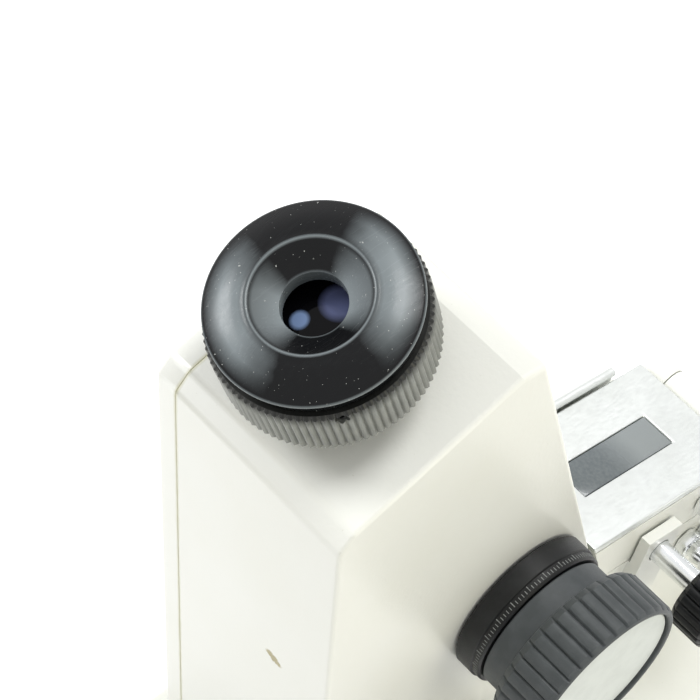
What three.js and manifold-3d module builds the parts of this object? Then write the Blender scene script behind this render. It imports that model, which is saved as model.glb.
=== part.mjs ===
// Bench refractometer of the two-prism kind, in millimetres.
// The origin is the centre of the footprint at table level: +X is the user's right,
// -Y faces the user and +Z is up. The eyepiece leans towards the user, and a pair of
// jacketed prisms lies behind the housing, with the measuring drive inside it.

import * as THREE from 'three';
import { mergeVertices } from 'three/addons/utils/BufferGeometryUtils.js';
import Module from 'manifold-3d';

const wasm = await Module();
wasm.setup();

// Clearances and facets shared by every piece
const GAP = 0.3;
const WIDE_GAP = 0.6;
const OVERRUN = 5;
const WELD = 0.0001;
const FINE = 36;
const MEDIUM = 20;
const COARSE = 12;

// Base, its underside cover and its feet
const BASE = { width: 100, length: 200, top: 27, corner: 10, wall: 5, cover: 2, bevel: 1.5 };
const FOOT = { radius: 8, height: 3, inset: 16, dimpleRadius: 3, dimpleDepth: 1.5 };

// Eyepiece axis: the centre of the eye opening, and the lean towards the user
const EYE = { x: -10, y: -52, z: 231, lean: THREE.MathUtils.degToRad(16) };

// Housing: lengths u run up the eyepiece face, lengths a run out along the eyepiece axis
const HOUSING = {
  left: -29.5, right: 19, wall: 3.2, front: -69.3, chamfer: 4,
  faceDepth: 26, faceFront: 21.7, faceBack: 28, topBand: 22.4, topBack: 28.2, topDrop: 3,
  backSwell: 0.6, slopeEnd: 175,
  platform: 49.8, platformSlope: THREE.MathUtils.degToRad(13), heel: 9.6,
};
const SIDE_COVER = { thick: 6.2, topDrop: 9 };

// Eyepiece: heights are measured along the axis from the eye opening
const SOCKET = {
  radius: 14.5, bore: 12.3, top: -14, bottom: -44, flangeRadius: 15.6, flange: 2.4,
};
const BARREL = { radius: 12, bore: 10, top: -4.6, bottom: -34, lip: 1.2 };
const EYE_LENS = { radius: 9.7, top: -6, edge: 3.4, crown: 1.4 };
const FIELD_LENS = { radius: 9.7, top: -27, edge: 3.6, crown: 1.6 };
const RETICLE = { radius: 12, thick: 2, raise: 0.8 };
const RING = {
  radius: 21.9, bore: 15, top: -3, bottom: -17.2, knurls: 88, knurlDepth: 0.8, web: 2.6,
};
const CAP = {
  radius: 21.1, hole: 6.5, holeDepth: 3.6, crestRadius: 12.2, crest: 4, lip: 0.5, rimRise: 0.9,
  rim: 1.2, stepRadius: 20.2, skirt: 2.7,
};
const GRUB = { radius: 1.1, depth: 2.4, fall: 2, turn: THREE.MathUtils.degToRad(-30) };

// Telescope, with its rhomboid prism and objective, beside the eyepiece axis
const SCOPE = { shiftX: 11.5, shiftU: 6.4, radius: 11, bore: 9.5, top: -58.3, bottom: -96 };
const OBJECTIVE = { radius: 9.2, lift: 2, edge: 3.2, crown: 1.4 };
const RHOMBOID = { face: 12, bottom: -58 };

// Dispersion compensator: two counter-turning cells driven by one pinion
const CELL = {
  centre: -121.4, crownRadius: 13.1, crownBore: 8.5, crownThick: 2, neckRadius: 10, neck: 14,
  teeth: 28, pitchRadius: 12,
};
const AMICI = { side: 11, length: 13.5, lift: 1.2, slant: 4 };
const PINION = { teeth: 12, faceWidth: 2.2, root: 4.3, addendum: 0.5 };
// Shapes of teeth, knurls and ribs, as shares of their pitch or width
const toothWidthShare = 0.3;
const toothRootShare = 1.3;
const toothTipShare = 0.7;
const ribFlatShare = 0.4;
const knurlFlatShare = 0;
const SHAFT = { radius: 2, boss: 5, bossDepth: 1.2 };
const FRAME_PLATE = {
  thick: 1.6, front: -19, back: 22, top: -62, bottom: -142, windowTop: -105.5, windowBottom: -137.3,
  windowHalf: 14.6, clampWall: 2, clampHeight: 9, foot: 5,
};

// Dispersion knob, outside the right wall
const KNOB = {
  ringRadius: 18.9, ringDepth: 8, grooveRadius: 17.6, groove: 2.6, grip: 21.9, gripStart: 15,
  face: 28.4, bevel: 1.2, ribs: 38, ribDepth: 0.8, discRadius: 19.8, disc: 1.6, recess: 0.7,
};

// Measuring drive: swing mirror, sector gear, scale arm and index knob
const AXLE = { y: 6.6, z: 50.2, radius: 2.5, boss: 6, bossDepth: 3, end: 1 };
const MIRROR = { width: 15, length: 20, thick: 2.4, holder: 2, turn: THREE.MathUtils.degToRad(-18.4) };
const SECTOR = {
  teeth: 60, pitchRadius: 30, thick: 2.2, spread: THREE.MathUtils.degToRad(24), hub: 6, x: 10.6,
};
const INDEX = { teeth: 12, pitchRadius: 6, knobRadius: 19, knobStart: 1.2, knobDepth: 20, ribs: 40 };
const TOOTH_ADDENDUM = 0.7;
const SCALE = {
  inner: 36, outer: 46, thick: 1.4, x: -26, aimY: -13.6, aimZ: 86,
  half: THREE.MathUtils.degToRad(12),
};
const READING = { x: -19, lensRadius: 4.6, lens: 3, tube: 1.4, mirror: 9, mirrorThick: 2, post: 4 };
const CONDENSER = { radius: 11, bore: 7.5, seat: 2.4, depth: 8, lens: 2.4, window: 5, lip: 1.2 };

// Prism block: lengths y run back along its slope and lengths z stand square to it
const BLOCK = {
  left: -16, right: 19, lead: 1.9, length: 37.6, seatTop: 16.2, entryTop: 31, top: 33.8,
  pivotY: 43.1, pivotZ: 28.8, knuckle: 5, pin: 1.6, lug: 7,
};
const WINDOW = { centre: 1.5, width: 10, start: -6.9, end: 25.1 };
const PRISM = { width: 13, start: 3, end: 35, floor: 5, exit: 9 };
const PORT = { width: 14, start: 4, end: 20 };
const SHIELD = { thick: 1.2, drop: 26, start: -9, end: 28, knuckle: 1.8 };
const LOCK = {
  y: 8.6, z: 20, stem: 3, ear: 3.2, earHalf: 6, earLift: 1.5, stemReach: 13,
  knob: 10.5, knobDepth: 11, ribs: 24,
};
const NOZZLE = {
  radius: 2.6, barb: 3.3, bore: 1.7, hex: 4, hexDepth: 3, reach: 14, low: 8, high: 23.6,
  pitch: 8.4, start: 27.6,
};
const THERMOMETER = {
  x: 27, y: 91, radius: 3.2, bulb: 2, top: 237, foot: 74, seat: 5, seatTop: 88, elbow: 2.8, leave: 11,
  reach: 8,
};
const REFLECTOR = {
  behind: 5, z: 1.9, width: 26, drop: 25, thick: 2.4, glass: 1, pin: 1.4, rim: 2, ear: 3.2,
};

// Surface finishes
const FINISHES = {
  enamel: { color: 0xe9eae0, roughness: 0.45, metalness: 0 },
  blackGloss: { color: 0x17191b, roughness: 0.16, metalness: 0 },
  blackSatin: { color: 0x2a2d2f, roughness: 0.45, metalness: 0 },
  silver: { color: 0xe4e7e6, roughness: 0.35, metalness: 0.8 },
  chrome: { color: 0xe8eaec, roughness: 0.08, metalness: 1 },
  steel: { color: 0x9fa3a6, roughness: 0.32, metalness: 1 },
  brass: { color: 0xc2a25a, roughness: 0.3, metalness: 1 },
  glass: { color: 0xb9c7d6, roughness: 0.04, metalness: 0 },
  mirror: { color: 0xdfe3e6, roughness: 0.03, metalness: 1 },
  rubber: { color: 0x1c1c1d, roughness: 0.85, metalness: 0 },
  paleDisc: { color: 0xd9dedc, roughness: 0.5, metalness: 0 },
};

// Closed solids and their joins and cuts
function solidOf(geometry) {
  const bare = geometry.clone();
  bare.deleteAttribute('normal');
  bare.deleteAttribute('uv');
  const merged = mergeVertices(bare, WELD);
  const vertProperties = new Float32Array(merged.attributes.position.array);
  const triVerts = new Uint32Array(merged.index.array);
  return new wasm.Manifold(new wasm.Mesh({ numProp: 3, vertProperties, triVerts }));
}

function geometryOf(solid) {
  const mesh = solid.getMesh();
  const geometry = new THREE.BufferGeometry();
  geometry.setAttribute('position', new THREE.BufferAttribute(mesh.vertProperties, 3));
  geometry.setIndex(new THREE.BufferAttribute(mesh.triVerts, 1));
  return geometry;
}

function join(first, ...others) {
  const solid = others.reduce((sum, other) => sum.add(solidOf(other)), solidOf(first));
  return geometryOf(solid);
}

function cut(body, ...tools) {
  const solid = tools.reduce((rest, tool) => rest.subtract(solidOf(tool)), solidOf(body));
  return geometryOf(solid);
}

function common(first, second) {
  return geometryOf(solidOf(first).intersect(solidOf(second)));
}

// Basic forms, each built in place
function box(x0, x1, y0, y1, z0, z1) {
  const geometry = new THREE.BoxGeometry(x1 - x0, y1 - y0, z1 - z0);
  return geometry.translate((x0 + x1) / 2, (y0 + y1) / 2, (z0 + z1) / 2);
}

function shapeOf(points) {
  return new THREE.Shape(points.map(([across, up]) => new THREE.Vector2(across, up)));
}

function plateZ(points, z0, z1) {
  const geometry = new THREE.ExtrudeGeometry(shapeOf(points), { depth: z1 - z0, bevelEnabled: false });
  return geometry.translate(0, 0, z0);
}

function plateX(points, x0, x1) {
  const across = new THREE.Vector3(0, 1, 0);
  const up = new THREE.Vector3(0, 0, 1);
  const along = new THREE.Vector3(1, 0, 0);
  const turn = new THREE.Matrix4().makeBasis(across, up, along);
  return plateZ(points, x0, x1).applyMatrix4(turn);
}

function turned(profile, facets) {
  const points = profile.map(([radius, height]) => new THREE.Vector2(radius, height));
  return new THREE.LatheGeometry(points, facets).rotateX(Math.PI / 2);
}

function rod(radius, z0, z1, facets = MEDIUM) {
  return turned([[0, z0], [radius, z0], [radius, z1], [0, z1]], facets);
}

function tube(bore, radius, z0, z1, facets = MEDIUM) {
  return turned([[bore, z0], [radius, z0], [radius, z1], [bore, z1], [bore, z0]], facets);
}

function alongX(geometry) {
  return geometry.rotateY(Math.PI / 2);
}

function lens(radius, bottom, top, crown, facets = MEDIUM) {
  const domeShares = [1, 0.6, 0];
  const dome = domeShares.map((share) => [radius * share, top + crown * (1 - share * share)]);
  return turned([[0, bottom], [radius, bottom], ...dome], facets);
}

function starPoints(count, outer, inner, flatShare) {
  const points = [];
  for (let i = 0; i < count; i += 1) {
    const pitch = (2 * Math.PI) / count;
    const crest = [[outer, -flatShare / 2], [outer, flatShare / 2]];
    const tops = flatShare > 0 ? crest : [[outer, 0]];
    for (const [radius, share] of [...tops, [inner, 0.5]]) {
      const angle = (i + share) * pitch;
      points.push([radius * Math.cos(angle), radius * Math.sin(angle)]);
    }
  }
  return points;
}

function gearPoints(teeth, outer, root, widthAtPitch, pitchRadius) {
  const points = [];
  for (let i = 0; i < teeth; i += 1) {
    const angle = (2 * Math.PI * i) / teeth;
    const half = widthAtPitch / 2 / pitchRadius;
    const rootHalf = half * toothRootShare;
    const tipHalf = half * toothTipShare;
    const corners = [[root, -rootHalf], [outer, -tipHalf], [outer, tipHalf], [root, rootHalf]];
    for (const [radius, turn] of corners) {
      points.push([radius * Math.cos(angle + turn), radius * Math.sin(angle + turn)]);
    }
  }
  return points;
}

// Scene groups: the upright frame, the leaning eyepiece frame and the sloping block frame
const model = new THREE.Group();

function onLean(u, a) {
  const sin = Math.sin(EYE.lean);
  const cos = Math.cos(EYE.lean);
  return [EYE.y + u * cos - a * sin, EYE.z + u * sin + a * cos];
}

const slopeFoot = onLean(HOUSING.faceBack, -HOUSING.slopeEnd);

const leaning = new THREE.Group();
leaning.position.set(EYE.x, EYE.y, EYE.z);
leaning.rotation.x = EYE.lean;
model.add(leaning);

const sloping = new THREE.Group();
sloping.position.set(0, slopeFoot[0], slopeFoot[1]);
sloping.rotation.x = -HOUSING.platformSlope;
model.add(sloping);
model.updateMatrixWorld(true);

function leanToModel(geometry) {
  return geometry.applyMatrix4(leaning.matrixWorld);
}

function slopeToModel(geometry) {
  return geometry.applyMatrix4(sloping.matrixWorld);
}

function addPart(name, geometry, finish, parent = model) {
  const solid = geometryOf(solidOf(geometry));
  solid.computeVertexNormals();
  const material = new THREE.MeshStandardMaterial(FINISHES[finish]);
  const mesh = new THREE.Mesh(solid, material);
  mesh.name = name;
  parent.add(mesh);
  return mesh;
}

// Base: a hollow casting, closed underneath by a screwed cover on four feet
function roundedOutline(halfX, halfY, corner) {
  const shape = new THREE.Shape();
  shape.absarc(halfX - corner, halfY - corner, corner, 0, Math.PI / 2);
  shape.absarc(corner - halfX, halfY - corner, corner, Math.PI / 2, Math.PI);
  shape.absarc(corner - halfX, corner - halfY, corner, Math.PI, 1.5 * Math.PI);
  shape.absarc(halfX - corner, corner - halfY, corner, 1.5 * Math.PI, 2 * Math.PI);
  return shape;
}

function roundedSlab(halfX, halfY, corner, z0, z1, bevel = 0) {
  const settings = {
    depth: z1 - z0 - bevel, bevelEnabled: bevel > 0, bevelSize: bevel, bevelThickness: bevel,
    bevelOffset: -bevel, bevelSegments: 3, curveSegments: 6,
  };
  return new THREE.ExtrudeGeometry(roundedOutline(halfX, halfY, corner), settings).translate(0, 0, z0);
}

function makeBase() {
  const halfX = BASE.width / 2;
  const halfY = BASE.length / 2;
  const bottom = FOOT.height + BASE.cover;
  const tall = roundedSlab(halfX, halfY, BASE.corner, bottom - BASE.bevel, BASE.top, BASE.bevel);
  const pastX = halfX + OVERRUN;
  const pastY = halfY + OVERRUN;
  const below = box(-pastX, pastX, -pastY, pastY, -OVERRUN, bottom);
  const inner = BASE.corner - BASE.wall;
  const roof = BASE.top - BASE.wall;
  const hollow = roundedSlab(halfX - BASE.wall, halfY - BASE.wall, inner, bottom - OVERRUN, roof);
  addPart('base_casting', cut(tall, below, hollow), 'enamel');
  addPart('base_cover', roundedSlab(halfX, halfY, BASE.corner, FOOT.height, bottom), 'blackSatin');
}

function makeFeet() {
  const corners = {
    foot_front_left: [-1, -1],
    foot_front_right: [1, -1],
    foot_rear_right: [1, 1],
    foot_rear_left: [-1, 1],
  };
  const placeX = BASE.width / 2 - FOOT.inset;
  const placeY = BASE.length / 2 - FOOT.inset;
  for (const [name, [sideX, sideY]] of Object.entries(corners)) {
    const body = rod(FOOT.radius, 0, FOOT.height, MEDIUM);
    const dimple = rod(FOOT.dimpleRadius, -OVERRUN, FOOT.dimpleDepth, COARSE);
    const foot = addPart(name, cut(body, dimple), 'rubber');
    foot.position.set(sideX * placeX, sideY * placeY, 0);
  }
}

// Housing: one casting with its right wall, closed on the left by a screwed cover
function onSlope(y, z) {
  const sin = Math.sin(HOUSING.platformSlope);
  const cos = Math.cos(HOUSING.platformSlope);
  return [slopeFoot[0] + y * cos + z * sin, slopeFoot[1] - y * sin + z * cos];
}

function housingOutline(inset, topDrop = HOUSING.topDrop) {
  const top = -HOUSING.faceDepth;
  const [faceFrontY, faceFrontZ] = onLean(-HOUSING.faceFront, top - inset);
  const front = HOUSING.front + inset;
  const bandFrom = onLean(HOUSING.topBand - inset / 4, top - inset);
  const bandTo = onLean(HOUSING.topBack - inset, top - topDrop - inset / 2);
  const tilt = HOUSING.platformSlope + EYE.lean;
  const footAlong = (HOUSING.backSwell - inset * (1 - Math.sin(tilt))) / Math.cos(tilt);
  const foot = onSlope(footAlong, -inset);
  const [backY, backZ] = onSlope(HOUSING.platform - inset, -inset);
  const floor = BASE.top + inset;
  return [
    [front, floor], [backY - HOUSING.heel, floor], [backY, backZ], foot, bandTo, bandFrom,
    [faceFrontY + inset / 2, faceFrontZ], [front, faceFrontZ - HOUSING.chamfer],
  ];
}

// Ways through the walls, shared by the casting and what passes them
const scopeAxis = onLean(SCOPE.shiftU, CELL.centre);
const scopeX = EYE.x + SCOPE.shiftX;
const indexAxis = [AXLE.y - SECTOR.pitchRadius - INDEX.pitchRadius, AXLE.z];

function crossRod(radius, [y, z], x0, x1, facets = MEDIUM) {
  return alongX(rod(radius, x0, x1, facets)).translate(0, y, z);
}

function makeHousing() {
  const { left, right, wall } = HOUSING;
  const body = plateX(housingOutline(0), left, right);
  const hollow = plateX(housingOutline(wall), left - OVERRUN, right - wall);
  const face = -HOUSING.faceDepth;
  const socketWay = leanToModel(rod(SOCKET.radius + GAP, face - wall - OVERRUN, face + OVERRUN, FINE));
  const portX = scopeX - PORT.width / 2;
  const portEnd = portX + PORT.width;
  const port = slopeToModel(box(portX, portEnd, PORT.start, PORT.end, -wall - OVERRUN, OVERRUN));
  const bossFrom = right - wall - SHAFT.bossDepth;
  const bossTo = right - wall / 2;
  const knobBoss = crossRod(SHAFT.boss, scopeAxis, bossFrom, bossTo);
  const indexBoss = crossRod(SHAFT.boss, indexAxis, bossFrom, bossTo);
  const axleBoss = crossRod(AXLE.boss, [AXLE.y, AXLE.z], right - wall - AXLE.bossDepth, bossTo);
  const shaftWay = SHAFT.radius + GAP;
  const knobWay = crossRod(shaftWay, scopeAxis, left, right + OVERRUN);
  const indexWay = crossRod(shaftWay, indexAxis, left, right + OVERRUN);
  const axleWay = crossRod(AXLE.radius + GAP, [AXLE.y, AXLE.z], left, right - wall / 2);
  const shell = cut(body, hollow, socketWay, port);
  const bossed = join(shell, knobBoss, indexBoss, axleBoss);
  addPart('housing_casting', cut(bossed, knobWay, indexWay, axleWay), 'enamel');
}

function makeSideCover() {
  const { left } = HOUSING;
  const outer = left - SIDE_COVER.thick;
  const plate = plateX(housingOutline(0, SIDE_COVER.topDrop), outer, left);
  const boss = crossRod(AXLE.boss, [AXLE.y, AXLE.z], left, left + AXLE.bossDepth);
  const boredFrom = left - SIDE_COVER.thick / 2;
  const bored = crossRod(AXLE.radius + GAP, [AXLE.y, AXLE.z], boredFrom, left + OVERRUN);
  const light = crossRod(CONDENSER.bore, [SCALE.aimY, SCALE.aimZ], outer - OVERRUN, left + OVERRUN);
  addPart('left_cover', cut(join(plate, boss), bored, light), 'enamel');
}

// Eyepiece: a fixed socket, a sliding lens barrel, and the ring and cap that turn on it
function makeSocket() {
  const face = -HOUSING.faceDepth;
  const sleeve = tube(SOCKET.bore, SOCKET.radius, SOCKET.bottom, SOCKET.top, MEDIUM);
  const flange = tube(SOCKET.bore, SOCKET.flangeRadius, face + GAP, face + GAP + SOCKET.flange, MEDIUM);
  const ledgeTop = SOCKET.bottom + RETICLE.raise;
  const ledge = tube(RETICLE.radius - RETICLE.thick, SOCKET.radius, SOCKET.bottom, ledgeTop, MEDIUM);
  addPart('eyepiece_socket', join(sleeve, flange, ledge), 'blackSatin', leaning);
  const reticleBottom = ledgeTop + GAP;
  const reticle = rod(RETICLE.radius, reticleBottom, reticleBottom + RETICLE.thick);
  addPart('reticle_disc', reticle, 'glass', leaning);
}

function makeLensBarrel() {
  const sleeve = tube(BARREL.bore, BARREL.radius, BARREL.bottom, BARREL.top, FINE);
  const lipBore = BARREL.bore - BARREL.lip;
  const lowLip = tube(lipBore, BARREL.radius, BARREL.bottom, BARREL.bottom + BARREL.lip, FINE);
  addPart('eyepiece_barrel', join(sleeve, lowLip), 'blackSatin', leaning);
  const eyeTop = EYE_LENS.top - EYE_LENS.crown;
  const eyeGlass = lens(EYE_LENS.radius, eyeTop - EYE_LENS.edge, eyeTop, EYE_LENS.crown);
  addPart('eye_lens', eyeGlass, 'glass', leaning);
  const fieldBottom = BARREL.bottom + BARREL.lip + GAP;
  const fieldTop = fieldBottom + FIELD_LENS.edge;
  const fieldGlass = lens(FIELD_LENS.radius, fieldBottom, fieldTop, FIELD_LENS.crown);
  addPart('field_lens', fieldGlass, 'glass', leaning);
}

function grubPlace(geometry) {
  const seat = RING.radius - RING.knurlDepth;
  return alongX(geometry).translate(seat, 0, RING.top - GRUB.fall).rotateZ(GRUB.turn);
}

function makeFocusRing() {
  const inner = RING.radius - RING.knurlDepth;
  const outline = starPoints(RING.knurls, RING.radius, inner, knurlFlatShare);
  const knurled = plateZ(outline, RING.bottom, RING.top);
  const bore = rod(RING.bore, RING.bottom - OVERRUN, RING.top - RING.web, FINE);
  const mouth = rod(BARREL.radius + GAP, RING.bottom, RING.top + OVERRUN, FINE);
  const screwWay = grubPlace(rod(GRUB.radius + GAP, -GRUB.depth - GAP, OVERRUN, COARSE));
  addPart('focus_ring', cut(knurled, bore, mouth, screwWay), 'blackSatin', leaning);
  const socket = GRUB.depth / 2;
  const screw = cut(rod(GRUB.radius, -GRUB.depth, 0, COARSE), rod(GRUB.radius / 2, -socket, OVERRUN, 6));
  addPart('focus_ring_screw', grubPlace(screw), 'steel', leaning);
}

function makeEyeCap() {
  const { radius, hole, holeDepth, crestRadius, crest, lip, rimRise, rim, stepRadius, skirt } = CAP;
  const profile = [[hole, -holeDepth], [hole, 0], [crestRadius - lip, crest - lip], [crestRadius, crest]];
  const domeShares = [0, 0.3, 0.6, 0.8, 0.93, 1];
  const domeFrom = crestRadius + lip;
  for (const share of domeShares) {
    const fall = (crest - lip / 2 - rimRise) * (1 - Math.cos(Math.PI * share / 2));
    profile.push([domeFrom + (radius - domeFrom) * share, crest - lip / 2 - fall]);
  }
  const under = RING.top + GAP;
  const skirtEnd = under - skirt / 2;
  profile.push([stepRadius, rimRise - rim], [stepRadius, under]);
  profile.push([BARREL.radius, under], [BARREL.radius, skirtEnd], [BARREL.bore, skirtEnd]);
  profile.push([BARREL.bore, -holeDepth], [hole, -holeDepth]);
  addPart('eye_cap', turned(profile.reverse(), FINE), 'blackGloss', leaning);
}

// Telescope beside the eyepiece axis, and the rhomboid prism that brings its beam across
function atScope(geometry) {
  return geometry.translate(SCOPE.shiftX, SCOPE.shiftU, 0);
}

function makeTelescope() {
  const ledgeTop = SCOPE.bottom + OBJECTIVE.lift;
  const ledge = tube(OBJECTIVE.radius - OBJECTIVE.crown, SCOPE.radius, SCOPE.bottom, ledgeTop);
  const sleeve = tube(SCOPE.bore, SCOPE.radius, SCOPE.bottom, SCOPE.top);
  addPart('telescope_tube', atScope(join(sleeve, ledge)), 'blackSatin', leaning);
  const lensBottom = ledgeTop + GAP;
  const glass = lens(OBJECTIVE.radius, lensBottom, lensBottom + OBJECTIVE.edge, OBJECTIVE.crown);
  addPart('objective_lens', atScope(glass), 'glass', leaning);
  const reach = Math.hypot(SCOPE.shiftX, SCOPE.shiftU);
  const half = RHOMBOID.face / 2;
  const outline = [[-half, 0], [reach - half, 0], [reach + half, RHOMBOID.face], [half, RHOMBOID.face]];
  const prism = plateZ(outline, -half, half).rotateX(Math.PI / 2);
  prism.rotateZ(Math.PI + Math.atan2(SCOPE.shiftU, SCOPE.shiftX)).translate(0, 0, RHOMBOID.bottom);
  addPart('rhomboid_prism', atScope(prism), 'glass', leaning);
}

// Compensator cells: crown teeth face the pinion from both sides
function makeCell(name, side) {
  const pinionRadius = CELL.pitchRadius * PINION.teeth / CELL.teeth;
  const toothWidth = 2 * Math.PI * CELL.pitchRadius / CELL.teeth * toothWidthShare;
  const tip = pinionRadius - PINION.addendum;
  const rootHeight = pinionRadius + PINION.addendum + GAP;
  const back = rootHeight + CELL.crownThick;
  const flange = tube(CELL.crownBore, CELL.crownRadius, rootHeight, back);
  const neck = tube(CELL.crownBore, CELL.neckRadius, back - GAP, back + CELL.neck);
  const teeth = [];
  for (let i = 0; i < CELL.teeth; i += 1) {
    const turn = (i + 0.5) * 2 * Math.PI / CELL.teeth;
    const inner = CELL.pitchRadius - PINION.faceWidth / 2;
    const half = toothWidth / 2;
    const bar = box(inner, CELL.crownRadius - GAP, -half, half, tip, rootHeight + GAP);
    teeth.push(bar.rotateZ(turn));
  }
  const cell = join(flange, neck, ...teeth);
  const facing = side > 0 ? cell : cell.rotateX(Math.PI);
  addPart(name, atScope(facing.translate(0, 0, CELL.centre)), 'brass', leaning);
  return back;
}

function makeCompensator() {
  const back = makeCell('upper_prism_cell', 1);
  makeCell('lower_prism_cell', -1);
  const half = AMICI.side / 2;
  const start = back - AMICI.lift;
  const end = start + AMICI.length;
  const rise = AMICI.slant / 2;
  const outline = [[-half, start], [half, start + rise], [half, end - rise], [-half, end]];
  for (const [name, side] of [['upper_dispersion_prism', 1], ['lower_dispersion_prism', -1]]) {
    const prism = plateX(outline, -half, half);
    const facing = side > 0 ? prism : prism.rotateX(Math.PI);
    addPart(name, atScope(facing.translate(0, 0, CELL.centre)), 'glass', leaning);
  }
}

// Line of the reading optics, parallel to the eyepiece axis, in the leaning frame
function readingPlace() {
  const rise = SCALE.aimZ - EYE.z;
  const run = SCALE.aimY - EYE.y;
  const u = run * Math.cos(EYE.lean) + rise * Math.sin(EYE.lean);
  const a = rise * Math.cos(EYE.lean) - run * Math.sin(EYE.lean);
  return [READING.x - EYE.x, u, a];
}

// Inner frame on the right wall: a telescope clamp, cell bearings and the reading lens cell
function makeOpticsFrame() {
  const plate = FRAME_PLATE;
  const wallX = HOUSING.right - HOUSING.wall - EYE.x - GAP;
  const middle = SCOPE.shiftU;
  const slab = box(wallX - plate.thick, wallX, plate.front, plate.back, plate.bottom, plate.top);
  const nearX = wallX - plate.thick - OVERRUN;
  const low = middle - plate.windowHalf;
  const high = middle + plate.windowHalf;
  const window = box(nearX, wallX + OVERRUN, low, high, plate.windowBottom, plate.windowTop);
  const solids = [cut(slab, window)];
  const bores = [];
  const addRing = (bore, z0, z1) => {
    solids.push(atScope(rod(bore + plate.clampWall, z0, z1)));
    const webEnd = wallX - plate.thick / 2;
    solids.push(box(SCOPE.shiftX, webEnd, middle - plate.foot, middle + plate.foot, z0, z1));
    bores.push(atScope(rod(bore, z0 - OVERRUN, z1 + OVERRUN)));
  };
  const clampFrom = (SCOPE.top + SCOPE.bottom) / 2;
  const clampTo = clampFrom + plate.clampHeight;
  const pinionRadius = CELL.pitchRadius * PINION.teeth / CELL.teeth;
  const reach = pinionRadius + PINION.addendum + CELL.crownThick + WIDE_GAP;
  const bearing = CELL.neckRadius + GAP;
  addRing(SCOPE.radius + GAP, clampFrom, clampTo);
  addRing(bearing, CELL.centre + reach, CELL.centre + reach + plate.clampHeight);
  addRing(bearing, CELL.centre - reach - plate.clampHeight, CELL.centre - reach);
  const [x, u, a] = readingPlace();
  const span = Math.hypot(SCOPE.shiftX - x, SCOPE.shiftU - u);
  const arm = box(0, span, -plate.foot / 2, plate.foot / 2, clampFrom, clampTo);
  arm.rotateZ(Math.atan2(SCOPE.shiftU - u, SCOPE.shiftX - x)).translate(x, u, 0);
  solids.push(arm, rod(READING.lensRadius + READING.tube, clampFrom, clampTo).translate(x, u, 0));
  const seatX = x + (READING.mirror / 2 + READING.mirrorThick) * Math.SQRT1_2 + GAP;
  const barTop = plate.bottom + READING.post;
  const barU = middle - bearing - plate.clampWall - GAP;
  solids.push(box(seatX, wallX - plate.thick / 2, barU - READING.post, barU, plate.bottom, barTop));
  solids.push(box(seatX, seatX + READING.post, barU - READING.post, u + READING.mirror / 2, a, barTop));
  bores.push(rod(READING.lensRadius + GAP, clampFrom - OVERRUN, clampTo + OVERRUN).translate(x, u, 0));
  addPart('optics_frame', cut(join(...solids), ...bores), 'blackSatin', leaning);
  const glassBottom = (clampFrom + clampTo) / 2;
  const glass = lens(READING.lensRadius, glassBottom, glassBottom + READING.lens, OBJECTIVE.crown / 2);
  addPart('reading_lens', glass.translate(x, u, 0), 'glass', leaning);
  const side = READING.mirror / 2;
  const slip = box(-side, side, -side, side, -READING.mirrorThick, 0);
  const mirror = slip.rotateY(-Math.PI / 4).translate(x, u, a);
  addPart('reading_mirror', mirror, 'mirror', leaning);
}

// Dispersion drive: pinion shaft through the right wall, with the knob outside it
function makeDispersionShaft() {
  const pinionRadius = CELL.pitchRadius * PINION.teeth / CELL.teeth;
  const toothWidth = 2 * pinionRadius * Math.PI / PINION.teeth * toothWidthShare;
  const outer = pinionRadius + PINION.addendum;
  const outline = gearPoints(PINION.teeth, outer, PINION.root, toothWidth, pinionRadius);
  const pinionX = scopeX + CELL.pitchRadius - PINION.faceWidth / 2;
  const pinion = alongX(plateZ(outline, pinionX, pinionX + PINION.faceWidth));
  const shaftEnd = HOUSING.right + KNOB.face - KNOB.disc - KNOB.recess - GAP;
  const shaft = alongX(rod(SHAFT.radius, pinionX, shaftEnd, COARSE));
  const whole = join(pinion, shaft).rotateX(EYE.lean).translate(0, ...scopeAxis);
  addPart('dispersion_pinion_shaft', whole, 'steel');
}

function outward(geometry, axis) {
  return alongX(geometry).translate(HOUSING.right, ...axis);
}

function makeDispersionKnob() {
  const { ringRadius, ringDepth, grooveRadius, groove, grip, gripStart } = KNOB;
  const { face, bevel, ribs, ribDepth } = KNOB;
  const bore = SHAFT.radius + GAP;
  const scaleRing = tube(bore, ringRadius, WIDE_GAP, ringDepth, FINE);
  addPart('dispersion_scale_ring', outward(scaleRing, scopeAxis), 'blackSatin');
  const neck = rod(grooveRadius, ringDepth + GAP, ringDepth + groove, FINE);
  const outline = starPoints(ribs, grip, grip - ribDepth, ribFlatShare);
  const ribbed = plateZ(outline, gripStart - GAP, face);
  const limit = turned([
    [0, gripStart - GAP], [grip - bevel, gripStart - GAP], [grip, gripStart + bevel],
    [grip, face - bevel], [grip - bevel, face], [0, face],
  ], FINE);
  const throat = rod(grooveRadius, ringDepth + groove - GAP, gripStart, FINE);
  const recess = rod(KNOB.discRadius + GAP, face - KNOB.disc - KNOB.recess, face + OVERRUN, FINE);
  const way = rod(bore, -OVERRUN, face + OVERRUN, COARSE);
  const knob = cut(join(common(ribbed, limit), neck, throat), recess, way);
  addPart('dispersion_knob', outward(knob, scopeAxis), 'blackSatin');
  const discTop = face - KNOB.recess;
  const disc = rod(KNOB.discRadius, discTop - KNOB.disc + GAP, discTop, FINE);
  addPart('dispersion_knob_disc', outward(disc, scopeAxis), 'paleDisc');
}

// Measuring drive: the index knob's pinion swings the mirror and the scale together
function gearAtX(outline, x, thick, [y, z]) {
  return alongX(plateZ(outline, x, x + thick)).translate(0, y, z);
}

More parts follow.
